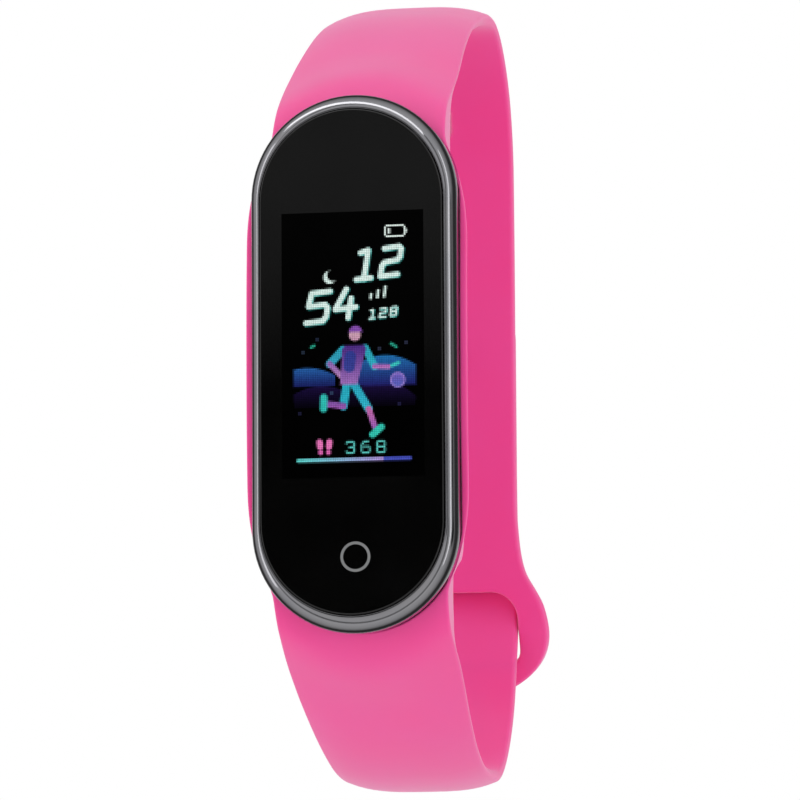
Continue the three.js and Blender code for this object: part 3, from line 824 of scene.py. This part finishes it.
def worked_metal(name, tints, low, high, stretch=(1, 1, 1), grain_mm=0.3, depth_mm=0.003):
    """Bare metal. stretch draws the noise out along the axes with small values, as brushing does."""
    material, tree, shader = new_material(name, Metallic=1.0)
    drawn = {"Vector": object_point(tree), "Scale": stretch}
    brushed = add(tree, "ShaderNodeMapping", drawn).outputs[0]
    wear, grain = (low, high, grain_mm, 3.0), (grain_mm, depth_mm, 0.5, 3.0)
    skin(tree, shader, brushed, tints, (2 * grain_mm, 3.0), wear, grain)
    return material


chrome = dark_chrome()
cover_black = black_glass("polished_float_glass_printed_black", "#060606", 0.015, 0.04)
case_black = grained_plastic("moulded_polycarbonate_fine_grain", ("#0b0b0c", "#111113"), 0.36, 0.48)
steel = worked_metal("brushed_stainless_steel", ("#b4b6ba", "#c4c6c9"), 0.22, 0.36, (0.06, 1, 1), 0.09)
gold = worked_metal("gold_plated_copper", ("#c99b45", "#dcb45e"), 0.18, 0.3, grain_mm=0.2)

# %% [markdown]
# ## Rim and glass
#
# The pod is a pill: two straight sides and two half circles. Stacking pill outlines of
# changing size makes each of its parts. A few key levels are joined by the same smooth
# curve as before, so the rim gets its soft crowned section and the glass its ground edge.

# %% Pill-shaped pieces
def smooth_levels(levels, steps):
    """Fine rows through a few key ones, evenly by row, each column a smooth table of its own."""
    at = np.linspace(0, len(levels) - 1, steps)
    return np.stack([smooth_table(list(enumerate(column)))(at) for column in zip(*levels)], -1)


def pill_rows(levels):
    """One ring of points for each level."""
    rows = []
    for w, l, depth in levels:
        x, z = pill_points(w, l)
        rows.append(at_depth(x, depth, z))
    return rows


def pill_solid(name, levels):
    """A closed stack of pills, with a flat face at each end."""
    rows = pill_rows(levels)
    n = len(PILL_UP)
    faces = grid_faces(len(rows), n)
    faces += [list(range(n)), list(range((len(rows) - 1) * n, len(rows) * n))]
    return finish_mesh(name, np.vstack(rows), faces)


def pill_ring(name, levels):
    """A closed ring whose section runs through all levels and back to the first."""
    rows = pill_rows(levels)
    rows.append(rows[0])
    return finish_mesh(name, np.vstack(rows), grid_faces(len(rows), len(PILL_UP)), weld=0.0005)


GW, GL, PW, PL = glass_half_width, glass_half_length, pod_half_width, pod_half_length
GLASS_THICK = 1.2
crown = smooth_levels([
    (GW + 0.05, GL + 0.05, 0.3), (GW + 0.07, GL + 0.08, 0.22), (GW + 0.14, GL + 0.18, 0.2),
    (GW + 0.34, GL + 0.5, 0.31), (PW - 0.42, PL - 0.6, 0.58), (PW - 0.2, PL - 0.27, 0.98),
    (PW - 0.05, PL - 0.07, 1.45), (PW, PL, 1.95), (PW - 0.05, PL - 0.05, 2.55),
    (PW - 0.3, PL - 0.25, 3.1),
], 40)
inner_side = [
    (GW - 1, GL - 1, 3.1), (GW - 1, GL - 1, GLASS_THICK + 0.35),
    (GW + 0.05, GL + 0.05, GLASS_THICK + 0.35),
]
bezel = pill_ring("rim", list(crown) + inner_side)
dress(bezel, "tracker_pod", chrome, ("bezel_ring",))

FACE = 0.02  # the glass sits this far behind the dots of the display
GROUND_WIDE, GROUND_DEEP = 0.14, 0.2  # the quarter round of its ground edge
ground = [
    (GW - GROUND_WIDE * (1 - math.sin(t)), GL - GROUND_WIDE * (1 - math.sin(t)),
     FACE + GROUND_DEEP * (1 - math.cos(t)))
    for t in np.linspace(0, math.pi / 2, 9)
]
glass = pill_solid("glass", [(GW - 1.2, GL - 1.2, FACE), *ground, (GW, GL, GLASS_THICK)])
dress(glass, "tracker_pod", cover_black, ("cover_glass",))

# %% [markdown]
# ## Rear case
#
# The case is a thin tub that tapers to the rear, with a raised boss that meets the skin. Its
# rear wall has real openings for the optical window and the two charging contacts, so that
# wall is filled from a plan, like the strap's faces.

# %% Rear case
def circle(x, z, r, n=48):
    """A clockwise circle of points."""
    t = -np.linspace(0, 2 * math.pi, n, endpoint=False)
    return np.stack([x + r * np.cos(t), z + r * np.sin(t)], -1)


window_radius = boss_half_width - 1.3
contact_x = boss_half_width - 3.9
contact_radius = 0.46 * contact_x
contact_z = 4.7 - boss_half_length
CASE_TOP, WALL, BOSS_ROUND = 3.45, 1.0, 0.5
BW, BL = boss_half_width, boss_half_length
outer_rows = [
    (PW - 0.65, PL - 0.6, CASE_TOP), (PW - 0.42, PL - 0.37, CASE_TOP),
    (PW - 0.35, PL - 0.3, CASE_TOP + 0.08), (PW - 1.6, PL - 0.9, tub_floor - 0.2),
    (PW - 1.68, PL - 1.02, tub_floor - 0.06), (PW - 1.85, PL - 1.3, tub_floor),
    (BW + 0.12, BL + 0.12, tub_floor), (BW + 0.03, BL + 0.03, tub_floor + 0.05),
    (BW, BL, tub_floor + 0.15), (BW, BL, pod_rear - BOSS_ROUND),
]
outer_rows += [
    (BW - BOSS_ROUND * (1 - math.cos(t)), BL - BOSS_ROUND * (1 - math.cos(t)),
     pod_rear - BOSS_ROUND * (1 - math.sin(t)))
    for t in np.linspace(0.15, math.pi / 2, 8)
]
inner_rows = [
    (PW - 0.9, PL - 0.85, CASE_TOP), (PW - 1.35, PL - 1.3, CASE_TOP + 0.2),
    (PW - 1.9, PL - 1.6, tub_floor - 0.1), (BW - WALL, BL - WALL, tub_floor - 0.1),
    (BW - WALL, BL - WALL, pod_rear - WALL),
]
rows = pill_rows(inner_rows[::-1] + outer_rows)
points, faces = list(rows), grid_faces(len(rows), len(PILL_UP))
PLAY = 0.07  # the gap round the window and the contacts
openings = [circle(0, 0, window_radius + PLAY, 72)]
openings += [circle(side * contact_x, contact_z, contact_radius + PLAY, 32) for side in (-1, 1)]
for row, depth in ((rows[0], pod_rear - WALL), (rows[-1], pod_rear)):
    found, triangles = fill_plan([row[:, [0, 2]], *openings], 0.9)
    first = sum(len(p) for p in points)
    points.append(at_depth(found[:, 0], depth, found[:, 1]))
    faces += (triangles + first).tolist()
for hole in openings:
    first = sum(len(p) for p in points)
    points += [at_depth(hole[:, 0], depth, hole[:, 1]) for depth in (pod_rear - WALL, pod_rear)]
    faces += grid_faces(2, len(hole), True, first)
case = finish_mesh("case", np.vstack(points), faces, weld=0.002)
dress(case, "tracker_pod", case_black, ("rear_case",))

# %% [markdown]
# ## Window, contacts and stud
#
# These are turned shapes: a profile spun about an axis that points backwards. The window is
# a shallow smoked lens that presses into the skin. Behind it the light pipes of two green
# lamps and a light sensor show faintly. The stud is a steel rivet: a domed cap outside, a
# shaft through both straps and a button head inside that snaps through a hole.

# %% Turned pieces
def turned(name, base, profile, x, z, n, steps=None):
    """A profile spun about the line through x, z, with each end closed at a pole.

    Its rows are (radius, depth beyond base). Given steps, a smooth curve joins them.
    """
    profile = np.array(smooth_levels(profile, steps) if steps else profile) + (0, base)
    angle = np.linspace(0, 2 * math.pi, n, endpoint=False)
    r, depth = profile[:, :1], profile[:, 1:]
    ring = at_depth(x + r * np.cos(angle), depth + 0 * angle, z + r * np.sin(angle)).reshape(-1, 3)
    poles = at_depth(np.array([x, x]), profile[[0, -1], 1], np.array([z, z]))
    faces = grid_faces(len(profile), n)
    count, last = len(ring), (len(profile) - 1) * n
    faces += [[count, (j + 1) % n, j] for j in range(n)]
    faces += [[count + 1, last + j, last + (j + 1) % n] for j in range(n)]
    return finish_mesh(name, np.vstack([ring, poles]), faces, sharp=35.0)


def smoked_window():
    """Smoked lens with two faint green lamp spots above and below a square sensor."""
    material, tree, shader = new_material("smoked_polycarbonate_lens", IOR=1.58)
    point = object_point(tree)
    parts = add(tree, "ShaderNodeSeparateXYZ", {"Vector": point})

    def distance(height_mm):
        """Distance from the middle of a spot at that height on the lens, in metres."""
        offset = {0: parts.outputs["Z"], 1: height_mm * MM}
        up = add(tree, "ShaderNodeMath", offset, operation="SUBTRACT").outputs[0]
        flat = add(tree, "ShaderNodeCombineXYZ", {"X": parts.outputs["X"], "Z": up}).outputs[0]
        return add(tree, "ShaderNodeVectorMath", {0: flat}, operation="LENGTH").outputs["Value"]

    colour = linear("#0a0b0c")
    soft_edge = 0.12
    for height_mm, radius_mm, tint in (
        (0.0, 1.35, "#2a2b30"), (0.0, 0.85, "#15161a"), (2.9, 0.75, "#2f5c3b"), (-2.9, 0.75, "#2f5c3b"),
    ):
        edge = (radius_mm + soft_edge) * MM, (radius_mm - soft_edge) * MM
        spot = spread(tree, distance(height_mm), 0.0, 1.0, *edge)
        colour = mix(tree, spot, colour, linear(tint))
    wear = spread(tree, noise(tree, point, 3.0, 3.0), 0.05, 0.12)
    feed(tree, shader, {"Base Color": colour, "Roughness": wear})
    return material


window = turned(
    "window", pod_rear,
    [(window_radius, 0.05 - WALL), (window_radius, 0.06), (window_radius - 0.12, 0.2),
     (window_radius - 0.7, 0.36), (window_radius - 2.2, 0.54), (0.6, 0.6)],
    0, 0, n=96,
)
dress(window, "tracker_pod", smoked_window(), ("sensor_window",))
foot_radius = 1.43 * contact_radius
for index, side in ((1, -1), (2, 1)):
    pin = turned(
        f"contact_{index}", pod_rear,
        [(foot_radius, -1.75), (foot_radius, -1.1), (contact_radius, -1.1), (contact_radius, -0.04),
         (contact_radius - 0.06, 0.03), (contact_radius - 0.2, 0.05), (0.3, 0.05)],
        side * contact_x, contact_z, n=40,
    )
    dress(pin, "tracker_pod", gold, (f"charge_contact_{index}",))

STUD_HEAD = HOLE_WIDTH / 2 - 0.2
cap_base, strap_inner = TAIL + HALF, REAR - HALF
cap = turned(
    "closure_cap", cap_base,
    [(2.9, 0.05), (3.15, 0.1), (3.3, 0.32), (3.27, 0.55), (3.0, 0.85), (2.3, 1.02), (0.8, 1.1)],
    0, STUD_Z, n=80, steps=26,
)
dress(cap, "tail", steel, ("stud_cap",))
shaft = STUD_HEAD - 0.45
stud = turned(
    "closure_pin", strap_inner,
    [(shaft, cap_base - strap_inner), (shaft, 0.4), (STUD_HEAD - 0.05, -0.12), (STUD_HEAD, -0.26),
     (STUD_HEAD - 0.1, -0.58), (STUD_HEAD - 0.3, -0.74), (0.4, -0.8)],
    0, STUD_Z, n=48,
)
dress(stud, "tail", steel, ("stud_pin",))

# %% [markdown]
# ## Display dots
#
# The display shows a picture built from square dots, 80 across and 148 down. Each shape is
# a distance: to a line for strokes, to a point for discs. A dot lights by how far inside
# the shape it lies, so edges get softened dots. Only lit dots become faces, each carrying
# its own colour, a hair in front of the glass. The words of such a display are left out,
# and plain pictures stand in their place.

# %% Display picture
COLUMNS, ROWS, PITCH = 80, 148, 0.156
LEFT, TOP = -6.08, 12.95
column, row = np.meshgrid(np.arange(COLUMNS) + 0.5, np.arange(ROWS) + 0.5)
picture = np.zeros((ROWS, COLUMNS, 3))


def paint(distance, colour, strength=1.0):
    """Lays a colour over the picture where distance, in dots, is negative."""
    share = np.clip(0.5 - distance, 0, 1)[..., None] * strength
    picture[:] = picture * (1 - share) + np.asarray(colour) * share


def to_line(points, thick):
    """Distance to a chain of straight strokes of that thickness, with round ends."""
    best = np.full(column.shape, 1e9)
    for (x0, y0), (x1, y1) in zip(points, points[1:]):
        dx, dy = x1 - x0, y1 - y0
        t = np.clip(((column - x0) * dx + (row - y0) * dy) / (dx * dx + dy * dy + 1e-9), 0, 1)
        best = np.minimum(best, np.hypot(column - x0 - t * dx, row - y0 - t * dy))
    return best - thick / 2


def stroke(points, thick, tint, strength=1.0):
    """Paints a chain of strokes in one colour."""
    paint(to_line(points, thick), srgb(tint), strength)


def to_disc(x, y, r):
    """Distance to the rim of a disc, negative inside it."""
    return np.hypot(column - x, row - y) - r


def fade(top, bottom, row_top, row_bottom):
    """A colour for each dot, running from one to another down the rows."""
    t = np.clip((row - row_top) / (row_bottom - row_top), 0, 1)[..., None]
    return srgb(top) * (1 - t) + srgb(bottom) * t


# Each digit is a few chains of strokes in a square that runs from 0 to 1 rightwards and down.
UPPER_BOWL = [(0.15, 0), (0.85, 0), (1, 0.12), (1, 0.36), (0.85, 0.48)]
LOWER_BOWL = [(1, 0.6), (1, 0.88), (0.85, 1), (0.15, 1), (0, 0.88)]
DIGITS = {
    "1": [[(0.12, 0.06), (0.55, 0), (0.55, 1)], [(0.1, 1), (0.95, 1)]],
    "2": [[(0, 0.02), (0.85, 0), (1, 0.1), (1, 0.38), (0.88, 0.48), (0.12, 0.52), (0, 0.64),
           (0, 1), (1, 1)]],
    "3": [[(0, 0.12), *UPPER_BOWL, *LOWER_BOWL], [(0.4, 0.48), (0.85, 0.48)]],
    "4": [[(0.42, 0), (0, 0.66), (1.05, 0.66)], [(0.74, 0.34), (0.74, 1)]],
    "5": [[(1, 0), (0.06, 0), (0, 0.44), (0.85, 0.44), (1, 0.56), (1, 0.86), (0.85, 1), (0, 1)]],
    "6": [[(0.8, 0), (0.3, 0), (0, 0.3), (0, 0.86), (0.15, 1), (0.85, 1), (1, 0.86), (1, 0.56),
           (0.85, 0.44), (0.1, 0.44)]],
    "8": [[*UPPER_BOWL, *LOWER_BOWL, (0, 0.6), (0.15, 0.48), (0, 0.36), (0, 0.12), (0.15, 0)],
          [(0.15, 0.48), (0.85, 0.48)]],
}


def write(digits, left, top, width, height, gap, thick, colour, rise=0.1, slant=0.16):
    """Digits from their upper left corner, on a line that climbs to the right by `rise`."""
    for index, digit in enumerate(digits):
        x0 = left + index * (width + gap)
        for chain in DIGITS[digit]:
            u, v = np.array(chain, float).T
            across = x0 + u * width
            x = across + (0.5 - v) * slant * height
            y = top + v * height - rise * (across - left)
            paint(to_line(list(zip(x, y)), thick), colour)


def hill(left, right, crest, peak, curve, colour, strength=1.0, foot=None):
    """A rounded rise between two columns, from its curved top down to its foot."""
    top = peak + ((column - crest) / curve) ** 2
    edge_distance = np.maximum(np.maximum(left - column, column - right), top - row)
    if foot is not None:
        edge_distance = np.maximum(edge_distance, row - foot)
    paint(edge_distance, colour, strength)


mint = srgb("#e4fbf4")
hill(6.5, 40, 22, 97.0, 7.5, fade("#1d1140", "#000000", 97, 112), foot=112)
hill(38, 75.5, 56, 95.0, 6.5, fade("#1f1243", "#000000", 96, 112), foot=112)
hill(6.5, 30, 14, 86.6, 7.6, fade("#2a6ab4", "#1b1f5e", 86, 97.5), foot=97.2)
hill(41, 75.5, 58, 80.6, 7.2, fade("#2478b8", "#23206a", 80, 98), foot=97.6)
for x, y, tint in (
    (12, 78, "#7fa0d8"), (70, 74, "#8f9be0"), (20, 71, "#6f86c8"), (55, 77, "#93a6ea"),
    (66, 108, "#5d5fae"), (10, 112, "#5d5fae"), (28, 101, "#6ab7d0"),
):
    paint(to_disc(x, y, 0.55), srgb(tint), 0.8)
for line in (((16.6, 75.2), (18.2, 74.4)), ((61.6, 74.4), (64.4, 76.2))):
    stroke(line, 1.7, "#2aa58a")

# Battery: an outline with cut corners, its knob and one bar left.
box_line = [
    (58.5, 9.5), (59.5, 8.5), (68.5, 8.5), (69.5, 9.5), (69.5, 13.5), (68.5, 14.5), (59.5, 14.5),
    (58.5, 13.5), (58.5, 9.5),
]
stroke(box_line, 0.95, "#e6f4ee")
stroke([(70.6, 11.0), (70.6, 12.2)], 1.0, "#e6f4ee")
stroke([(60.8, 10.5), (60.8, 12.5)], 1.4, "#f2fffa")

for digits, left, top, width, height, gap, thick in (
    ("12", 42.4, 22.4, 9.6, 15.8, 4.9, 3.1), ("54", 15.0, 45.2, 11.0, 16.4, 4.6, 3.1),
    ("128", 49.4, 55.4, 3.3, 4.8, 2.7, 1.15),
):
    write(digits, left + 0.4, top + 0.4, width, height, gap, thick + 0.25, srgb("#2f9d96"))
    write(digits, left, top, width, height, gap, thick, mint)
# A crescent for the half of the day, and three bars for the month.
paint(np.maximum(to_disc(27.2, 36.4, 3.7), -to_disc(29.1, 35.2, 3.3)), mint)
for x, rise in ((50.2, 2.0), (54.0, 3.6), (57.8, 5.2)):
    foot = 48.8 - 0.1 * (x - 49)
    paint(to_line([(x, foot), (x + 0.14 * rise, foot - rise)], 1.7), mint)

# A runner as a sign: plain limbs and a round head.
limbs = (
    ((34.6, 77.0), (27.0, 84.8), 4.6, "#2fa9c0", "#3aa7c8"),
    ((27.0, 84.8), (33.4, 91.6), 3.2, "#9a6cbc", "#c58fcb"),
    ((36.6, 96.0), (34.6, 108.4), 4.8, "#2cb4c8", "#2fb9d0"),
    ((34.6, 108.4), (25.2, 107.0), 3.6, "#8a58ae", "#a45cb8"),
    ((40.0, 95.5), (48.8, 110.4), 4.6, "#2db0cc", "#37c0d6"),
    ((48.8, 110.4), (52.2, 120.4), 3.4, "#d06eb2", "#a463c0"),
    ((47.0, 76.4), (52.2, 86.8), 4.2, "#2fb0c2", "#35b8cf"),
    ((52.2, 86.8), (60.0, 87.2), 2.8, "#b06dc0", "#cf86cc"),
    ((62.0, 86.6), (65.6, 85.2), 2.0, "#3fd0c8", "#3fd0c8"),
)
for start, end, thick, tint, tint_end in limbs:
    low, high = sorted((start[1], end[1]))
    paint(to_line([start, end], thick), fade(tint, tint_end, low, high + 1))
back_line = 39.6 - 0.16 * (row - 84)
body = np.maximum(np.abs(column - back_line) - (6.9 - 0.10 * (row - 76)), 74.6 - row)
body = np.maximum(body, row - 96.6)
body = np.maximum(body, np.hypot(column - back_line, (row - 85.6) * 0.62) - 8.6)
paint(body, fade("#4c2c86", "#b07cc8", 74, 98))
stroke([(38.6, 81.0), (38.0, 86.5)], 6.4, "#2b3f96", 0.8)
paint(to_disc(41.2, 69.0, 3.4), fade("#e2b7c4", "#cf9ab8", 66, 72))
paint(np.maximum(to_disc(41.6, 67.6, 3.9), row - 67.4), srgb("#8a52b2"))
stroke([(23.6, 103.4), (23.4, 109.6)], 4.2, "#34c8bd")
stroke([(51.0, 124.6), (55.8, 120.6)], 4.0, "#37cdb9")
paint(to_disc(65.2, 94.6, 4.2), fade("#7e62c4", "#5a66c4", 90, 98))
paint(np.abs(to_disc(65.2, 94.6, 3.8)) - 0.5, srgb("#a889dc"), 0.8)

# Steps, their count, and the bar for the day's goal.
for x, lean in ((21.4, -0.3), (26.4, 0.3)):
    stroke([(x + lean, 128.2), (x, 130.6)], 3.6, "#f07ac0")
    stroke([(x - lean, 133.6), (x - lean, 134.0)], 2.8, "#e56ab8")
write("368", 36.2, 128.4, 4.4, 6.2, 4.2, 1.1, srgb("#5fcfc6"), rise=0.0, slant=0.0)
t = np.clip((column - 8) / 49, 0, 1)[..., None]
done = srgb("#63e0d8") * (1 - t) + srgb("#b79ae6") * t
bar = to_line([(9.2, 138.2), (71.8, 138.2)], 2.2)
paint(bar, np.where((column < 57)[..., None], done, srgb("#4a55c4")))
print("lit dots:", int((picture.max(-1) > 0.05).sum()))

# %% [markdown]
# ## Display mesh
#
# A liquid crystal or light-emitting display gives light of its own. Each dot is a square a
# little smaller than its pitch, which leaves the fine dark grid that such displays show up
# close. A black backing behind the dots is the display's own area, darker than the glass.

# %% Display mesh
def dot_mesh(name, picture, depth, fill=0.9):
    """One square per lit dot, coloured by a face-corner attribute in linear light."""
    lit = picture.max(-1) > 0.05
    j, i = np.nonzero(lit)
    x = LEFT + (i + 0.5) * PITCH
    z = TOP - (j + 0.5) * PITCH
    h = PITCH * fill / 2
    corner = np.array([(-h, -h), (h, -h), (h, h), (-h, h)])
    points = at_depth(x[:, None] + corner[:, 0], depth, z[:, None] + corner[:, 1]).reshape(-1, 3)
    mesh = bpy.data.meshes.new(name)
    mesh.from_pydata((points * MM).tolist(), [], np.arange(len(points)).reshape(-1, 4).tolist())
    colours = np.hstack([to_linear(picture[j, i]), np.ones((len(j), 1))])
    layer = mesh.color_attributes.new("dot_colour", "FLOAT_COLOR", "CORNER")
    layer.data.foreach_set("color", np.repeat(colours, 4, 0).astype(np.float32).ravel())
    print(name, len(mesh.polygons), "faces")
    return new_object(name, mesh)


def lit_dots():
    """Dots that only glow, each a little brighter or dimmer than its neighbours."""
    glass = {"Roughness": 0.3, "Specular_IOR_Level": 0.0}
    material, tree, shader = new_material("light_emitting_dots_under_glass", **glass)
    own_colour = add(tree, "ShaderNodeAttribute", attribute_name="dot_colour")
    feed(tree, shader, {
        "Base Color": (0, 0, 0, 1),
        "Emission Color": own_colour.outputs["Color"],
        "Emission Strength": spread(tree, noise(tree, object_point(tree), 0.35, 1.0), 0.9, 1.05),
    })
    return material


dots = dot_mesh("display_dots", picture, 0.002)
dress(dots, "tracker_pod", lit_dots())
backing_black = black_glass("display_area_black", "#010101", 0.03, 0.06, Specular_IOR_Level=0.04)
x0, x1, z0, z1 = LEFT, LEFT + COLUMNS * PITCH, TOP - ROWS * PITCH, TOP
BEHIND_DOTS = 0.012
panel_x, panel_z = np.array([(x0, z0), (x1, z0), (x1, z1), (x0, z1)]).T
panel = finish_mesh("display_area", at_depth(panel_x, BEHIND_DOTS, panel_z), [[0, 1, 2, 3]])
dress(panel, "tracker_pod", backing_black)

# %% [markdown]
# ## Touch key
#
# The touch key is a thin ring of grey ink printed behind the glass.

# %% Touch key
printed_grey = grained_plastic("screen_printed_grey_ink", ("#6f7071", "#7b7c7d"), 0.35, 0.45)
t = np.linspace(0, 2 * math.pi, 96, endpoint=False)
KEY_X, KEY_Z, KEY_RADII = 0.3, -17.0, (1.07, 1.31)
ring = [at_depth(KEY_X + r * np.cos(t), BEHIND_DOTS, KEY_Z + r * np.sin(t)) for r in KEY_RADII]
key = finish_mesh("touch_key", np.vstack(ring), grid_faces(2, 96))
dress(key, "tracker_pod", printed_grey)

# %% [markdown]
# ## Materials for what is inside
#
# The parts inside the pod keep their solids. Each gets the finish that such a part has:
# solder mask on the boards, foil on the battery, amber film on the flexible tail, moulded
# black plastic on chips and frames.

# %% Inner materials
def circuit_board():
    """Green solder mask over copper tracks, which show as a paler pattern."""
    material, tree, shader = new_material("glass_epoxy_board_green_mask", IOR=1.5)
    point = object_point(tree)
    flat = {"Vector": point, "Rotation": (math.pi / 2, 0, 0)}
    tracks = add(tree, "ShaderNodeTexBrick", {
        "Vector": add(tree, "ShaderNodeMapping", flat).outputs[0],
        "Scale": 1 / (1.6 * MM),
        "Mortar Size": 0.05,
        "Color1": linear("#0d4a2a"),
        "Color2": linear("#0b4023"),
        "Mortar": linear("#2c8a52"),
    }).outputs["Color"]
    gloss = spread(tree, noise(tree, point, 1.0), 0.25, 0.4)
    feed(tree, shader, {"Base Color": tracks, "Roughness": gloss})
    return material


inner = {
    "black_plastic": case_black,
    "rubber": grained_plastic("moulded_nitrile_rubber", ("#101011", "#171718"), 0.7, 0.85, 0.2, 0.006),
    "board": circuit_board(),
    "foil": worked_metal(
        "rolled_aluminium_foil", ("#b9bcc0", "#c9ccd0"), 0.25, 0.45, grain_mm=1.2, depth_mm=0.04,
    ),
    "amber_film": grained_plastic("polyimide_film", ("#a8601c", "#b87024"), 0.2, 0.3, 0.8, 0.004),
    "gold": gold,
    "steel": steel,
    "gunmetal": chrome,
    "glass": cover_black,
    "led": grained_plastic("clear_epoxy_over_lamp", ("#8fc79b", "#a6d8b0"), 0.1, 0.2),
    "screen": backing_black,
    "silicone": silicone,
}
for name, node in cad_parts.items():
    for index, material in enumerate(node.data.materials):
        node.data.materials[index] = inner[material.name.split(".")[0]]
    print(name, [m.name for m in node.data.materials])

# %% [markdown]
# ## Camera
#
# A long lens keeps the loop's front and rear nearly the same size. The camera looks from a
# little to the right of the display's normal and slightly upwards.

# %% Camera
LENS_MM, SENSOR_MM = 250.0, 36.0
TO_LEFT, UPWARDS, ROLL = (math.radians(angle) for angle in (10.5, 7.0, -0.336279))
camera_data = bpy.data.cameras.new("camera")
camera_data.lens = LENS_MM
camera_data.sensor_width = SENSOR_MM
camera = new_object("camera", camera_data)
camera.location = Vector((90.638, -465.963 + GLASS_PLANE, -61.764)) * MM
level = Matrix.Rotation(TO_LEFT, 3, "Z") @ Matrix.Rotation(math.pi / 2 + UPWARDS, 3, "X")
camera.rotation_euler = (level @ Matrix.Rotation(ROLL, 3, "Z")).to_euler()
bpy.context.scene.camera = camera

# %% [markdown]
# ## Studio
#
# A white room, a pale floor and a few large soft lights. The room is darker straight ahead,
# where a black cloth stands behind the camera, so the glass stays black. Softboxes above
# and at the sides draw the long bright lines in the rim.

# %% Studio
bpy.context.scene.view_settings.view_transform = "Standard"
floor_mesh = bpy.data.meshes.new("floor")
FLOOR_HALF, FLOOR_LEVEL = 9000, -300
signs = np.array([(-1, -1), (1, -1), (1, 1), (-1, 1)])
floor_corners = np.hstack([signs * FLOOR_HALF, np.full((4, 1), FLOOR_LEVEL)]) * MM
floor_mesh.from_pydata(floor_corners.tolist(), [], [(0, 1, 2, 3)])
floor = new_object("floor", floor_mesh)
pale, tree, shader = new_material("pale_matte_floor", Roughness=0.9)
tone = spread(tree, noise(tree, object_point(tree), 60.0, 2.0), 0.0, 1.0)
feed(tree, shader, {"Base Color": mix(tree, tone, linear("#f7f7f7"), linear("#f8f8f8"))})
floor.data.materials.append(pale)
floor.visible_glossy = False

world = bpy.data.worlds.new("studio")
bpy.context.scene.world = world
world.use_nodes = True
tree = world.node_tree
tree.nodes.clear()
way = add(tree, "ShaderNodeTexCoord").outputs["Generated"]


def dot(direction):
    """How far each ray goes along a direction: the cosine of the angle between them."""
    node = add(tree, "ShaderNodeVectorMath", {0: way, 1: direction}, operation="DOT_PRODUCT")
    return node.outputs["Value"]


def lobe(direction, near, far):
    """1 inside `near` degrees of a direction, falling smoothly to 0 at `far` degrees."""
    inputs = {
        "Value": dot(Vector(direction).normalized()),
        "From Min": math.cos(math.radians(far)),
        "From Max": math.cos(math.radians(near)),
    }
    return add(tree, "ShaderNodeMapRange", inputs, interpolation_type="SMOOTHSTEP").outputs["Result"]


# What polished parts mirror: rings of tone about the way the display faces.
turned_from = add(tree, "ShaderNodeMath", {0: dot((0, -1, 0))}, operation="ARCCOSINE").outputs[0]
share = add(tree, "ShaderNodeMath", {0: turned_from, 1: math.pi}, operation="DIVIDE").outputs[0]
rings = add(tree, "ShaderNodeValToRGB", {"Fac": share})
ramp = rings.color_ramp
tones = (
    (0, 0.5), (22, 0.62), (40, 0.7), (56, 0.74), (59, 0.2), (63, 0.22), (67, 0.8), (96, 0.62),
    (112, 0.34), (120, 0.06), (140, 0.05), (152, 0.5), (180, 0.7),
)
for _ in tones[2:]:
    ramp.elements.new(0.5)
for stop, (degrees, tone) in zip(ramp.elements, tones):
    stop.position = degrees / 180
    stop.color = (tone, tone, tone, 1)
room = rings.outputs["Color"]
# Three dark flags break the rings, and the cloth behind the camera pales upwards.
FLAG_TONE = (0.03, 0.03, 0.03, 1)
for direction, near, far in (
    ((0.7, -0.7, 0.08), 6, 11), ((0.98, 0.17, 0.0), 7, 13), ((-0.5, -0.87, 0.1), 5, 10),
):
    room = mix(tree, lobe(direction, near, far), room, FLAG_TONE)
cloth = add(tree, "ShaderNodeMapRange", {
    "Value": add(tree, "ShaderNodeSeparateXYZ", {"Vector": way}).outputs["Z"],
    "From Min": 0.118, "From Max": 0.16, "To Min": 0.008, "To Max": 0.21,
}, interpolation_type="SMOOTHSTEP")
room = mix(tree, lobe((-0.19, -0.976, 0.1), 13, 20), room, cloth.outputs["Result"])
# Mirrors see the room, matte surfaces an even white one, and the camera plain white.
rays = add(tree, "ShaderNodeLightPath")
room = mix(tree, rays.outputs["Is Glossy Ray"], (1.03, 1.03, 1.03, 1), room)
shown = mix(tree, rays.outputs["Is Camera Ray"], room, (1, 1, 1, 1))
background = add(tree, "ShaderNodeBackground", {"Color": shown})
add(tree, "ShaderNodeOutputWorld", {"Surface": background.outputs[0]})


def softbox(name, place_mm, size_mm, watts, target=(0, 0, 0)):
    """A rectangular soft light that faces a target."""
    data = bpy.data.lights.new(name, "AREA")
    data.shape = "RECTANGLE"
    data.size, data.size_y = size_mm[0] * MM, size_mm[1] * MM
    data.energy = watts
    lamp = new_object(name, data)
    lamp.location = Vector(place_mm) * MM
    lamp.rotation_euler = (Vector(target) * MM - lamp.location).to_track_quat("-Z", "Y").to_euler()
    return lamp


softbox("top_box", (-60, -180, 420), (700, 80), 0.42).visible_diffuse = False
softbox("left_box", (-420, -140, 40), (90, 560), 0.2)
softbox("right_box", (420, -120, 60), (70, 560), 0.16)
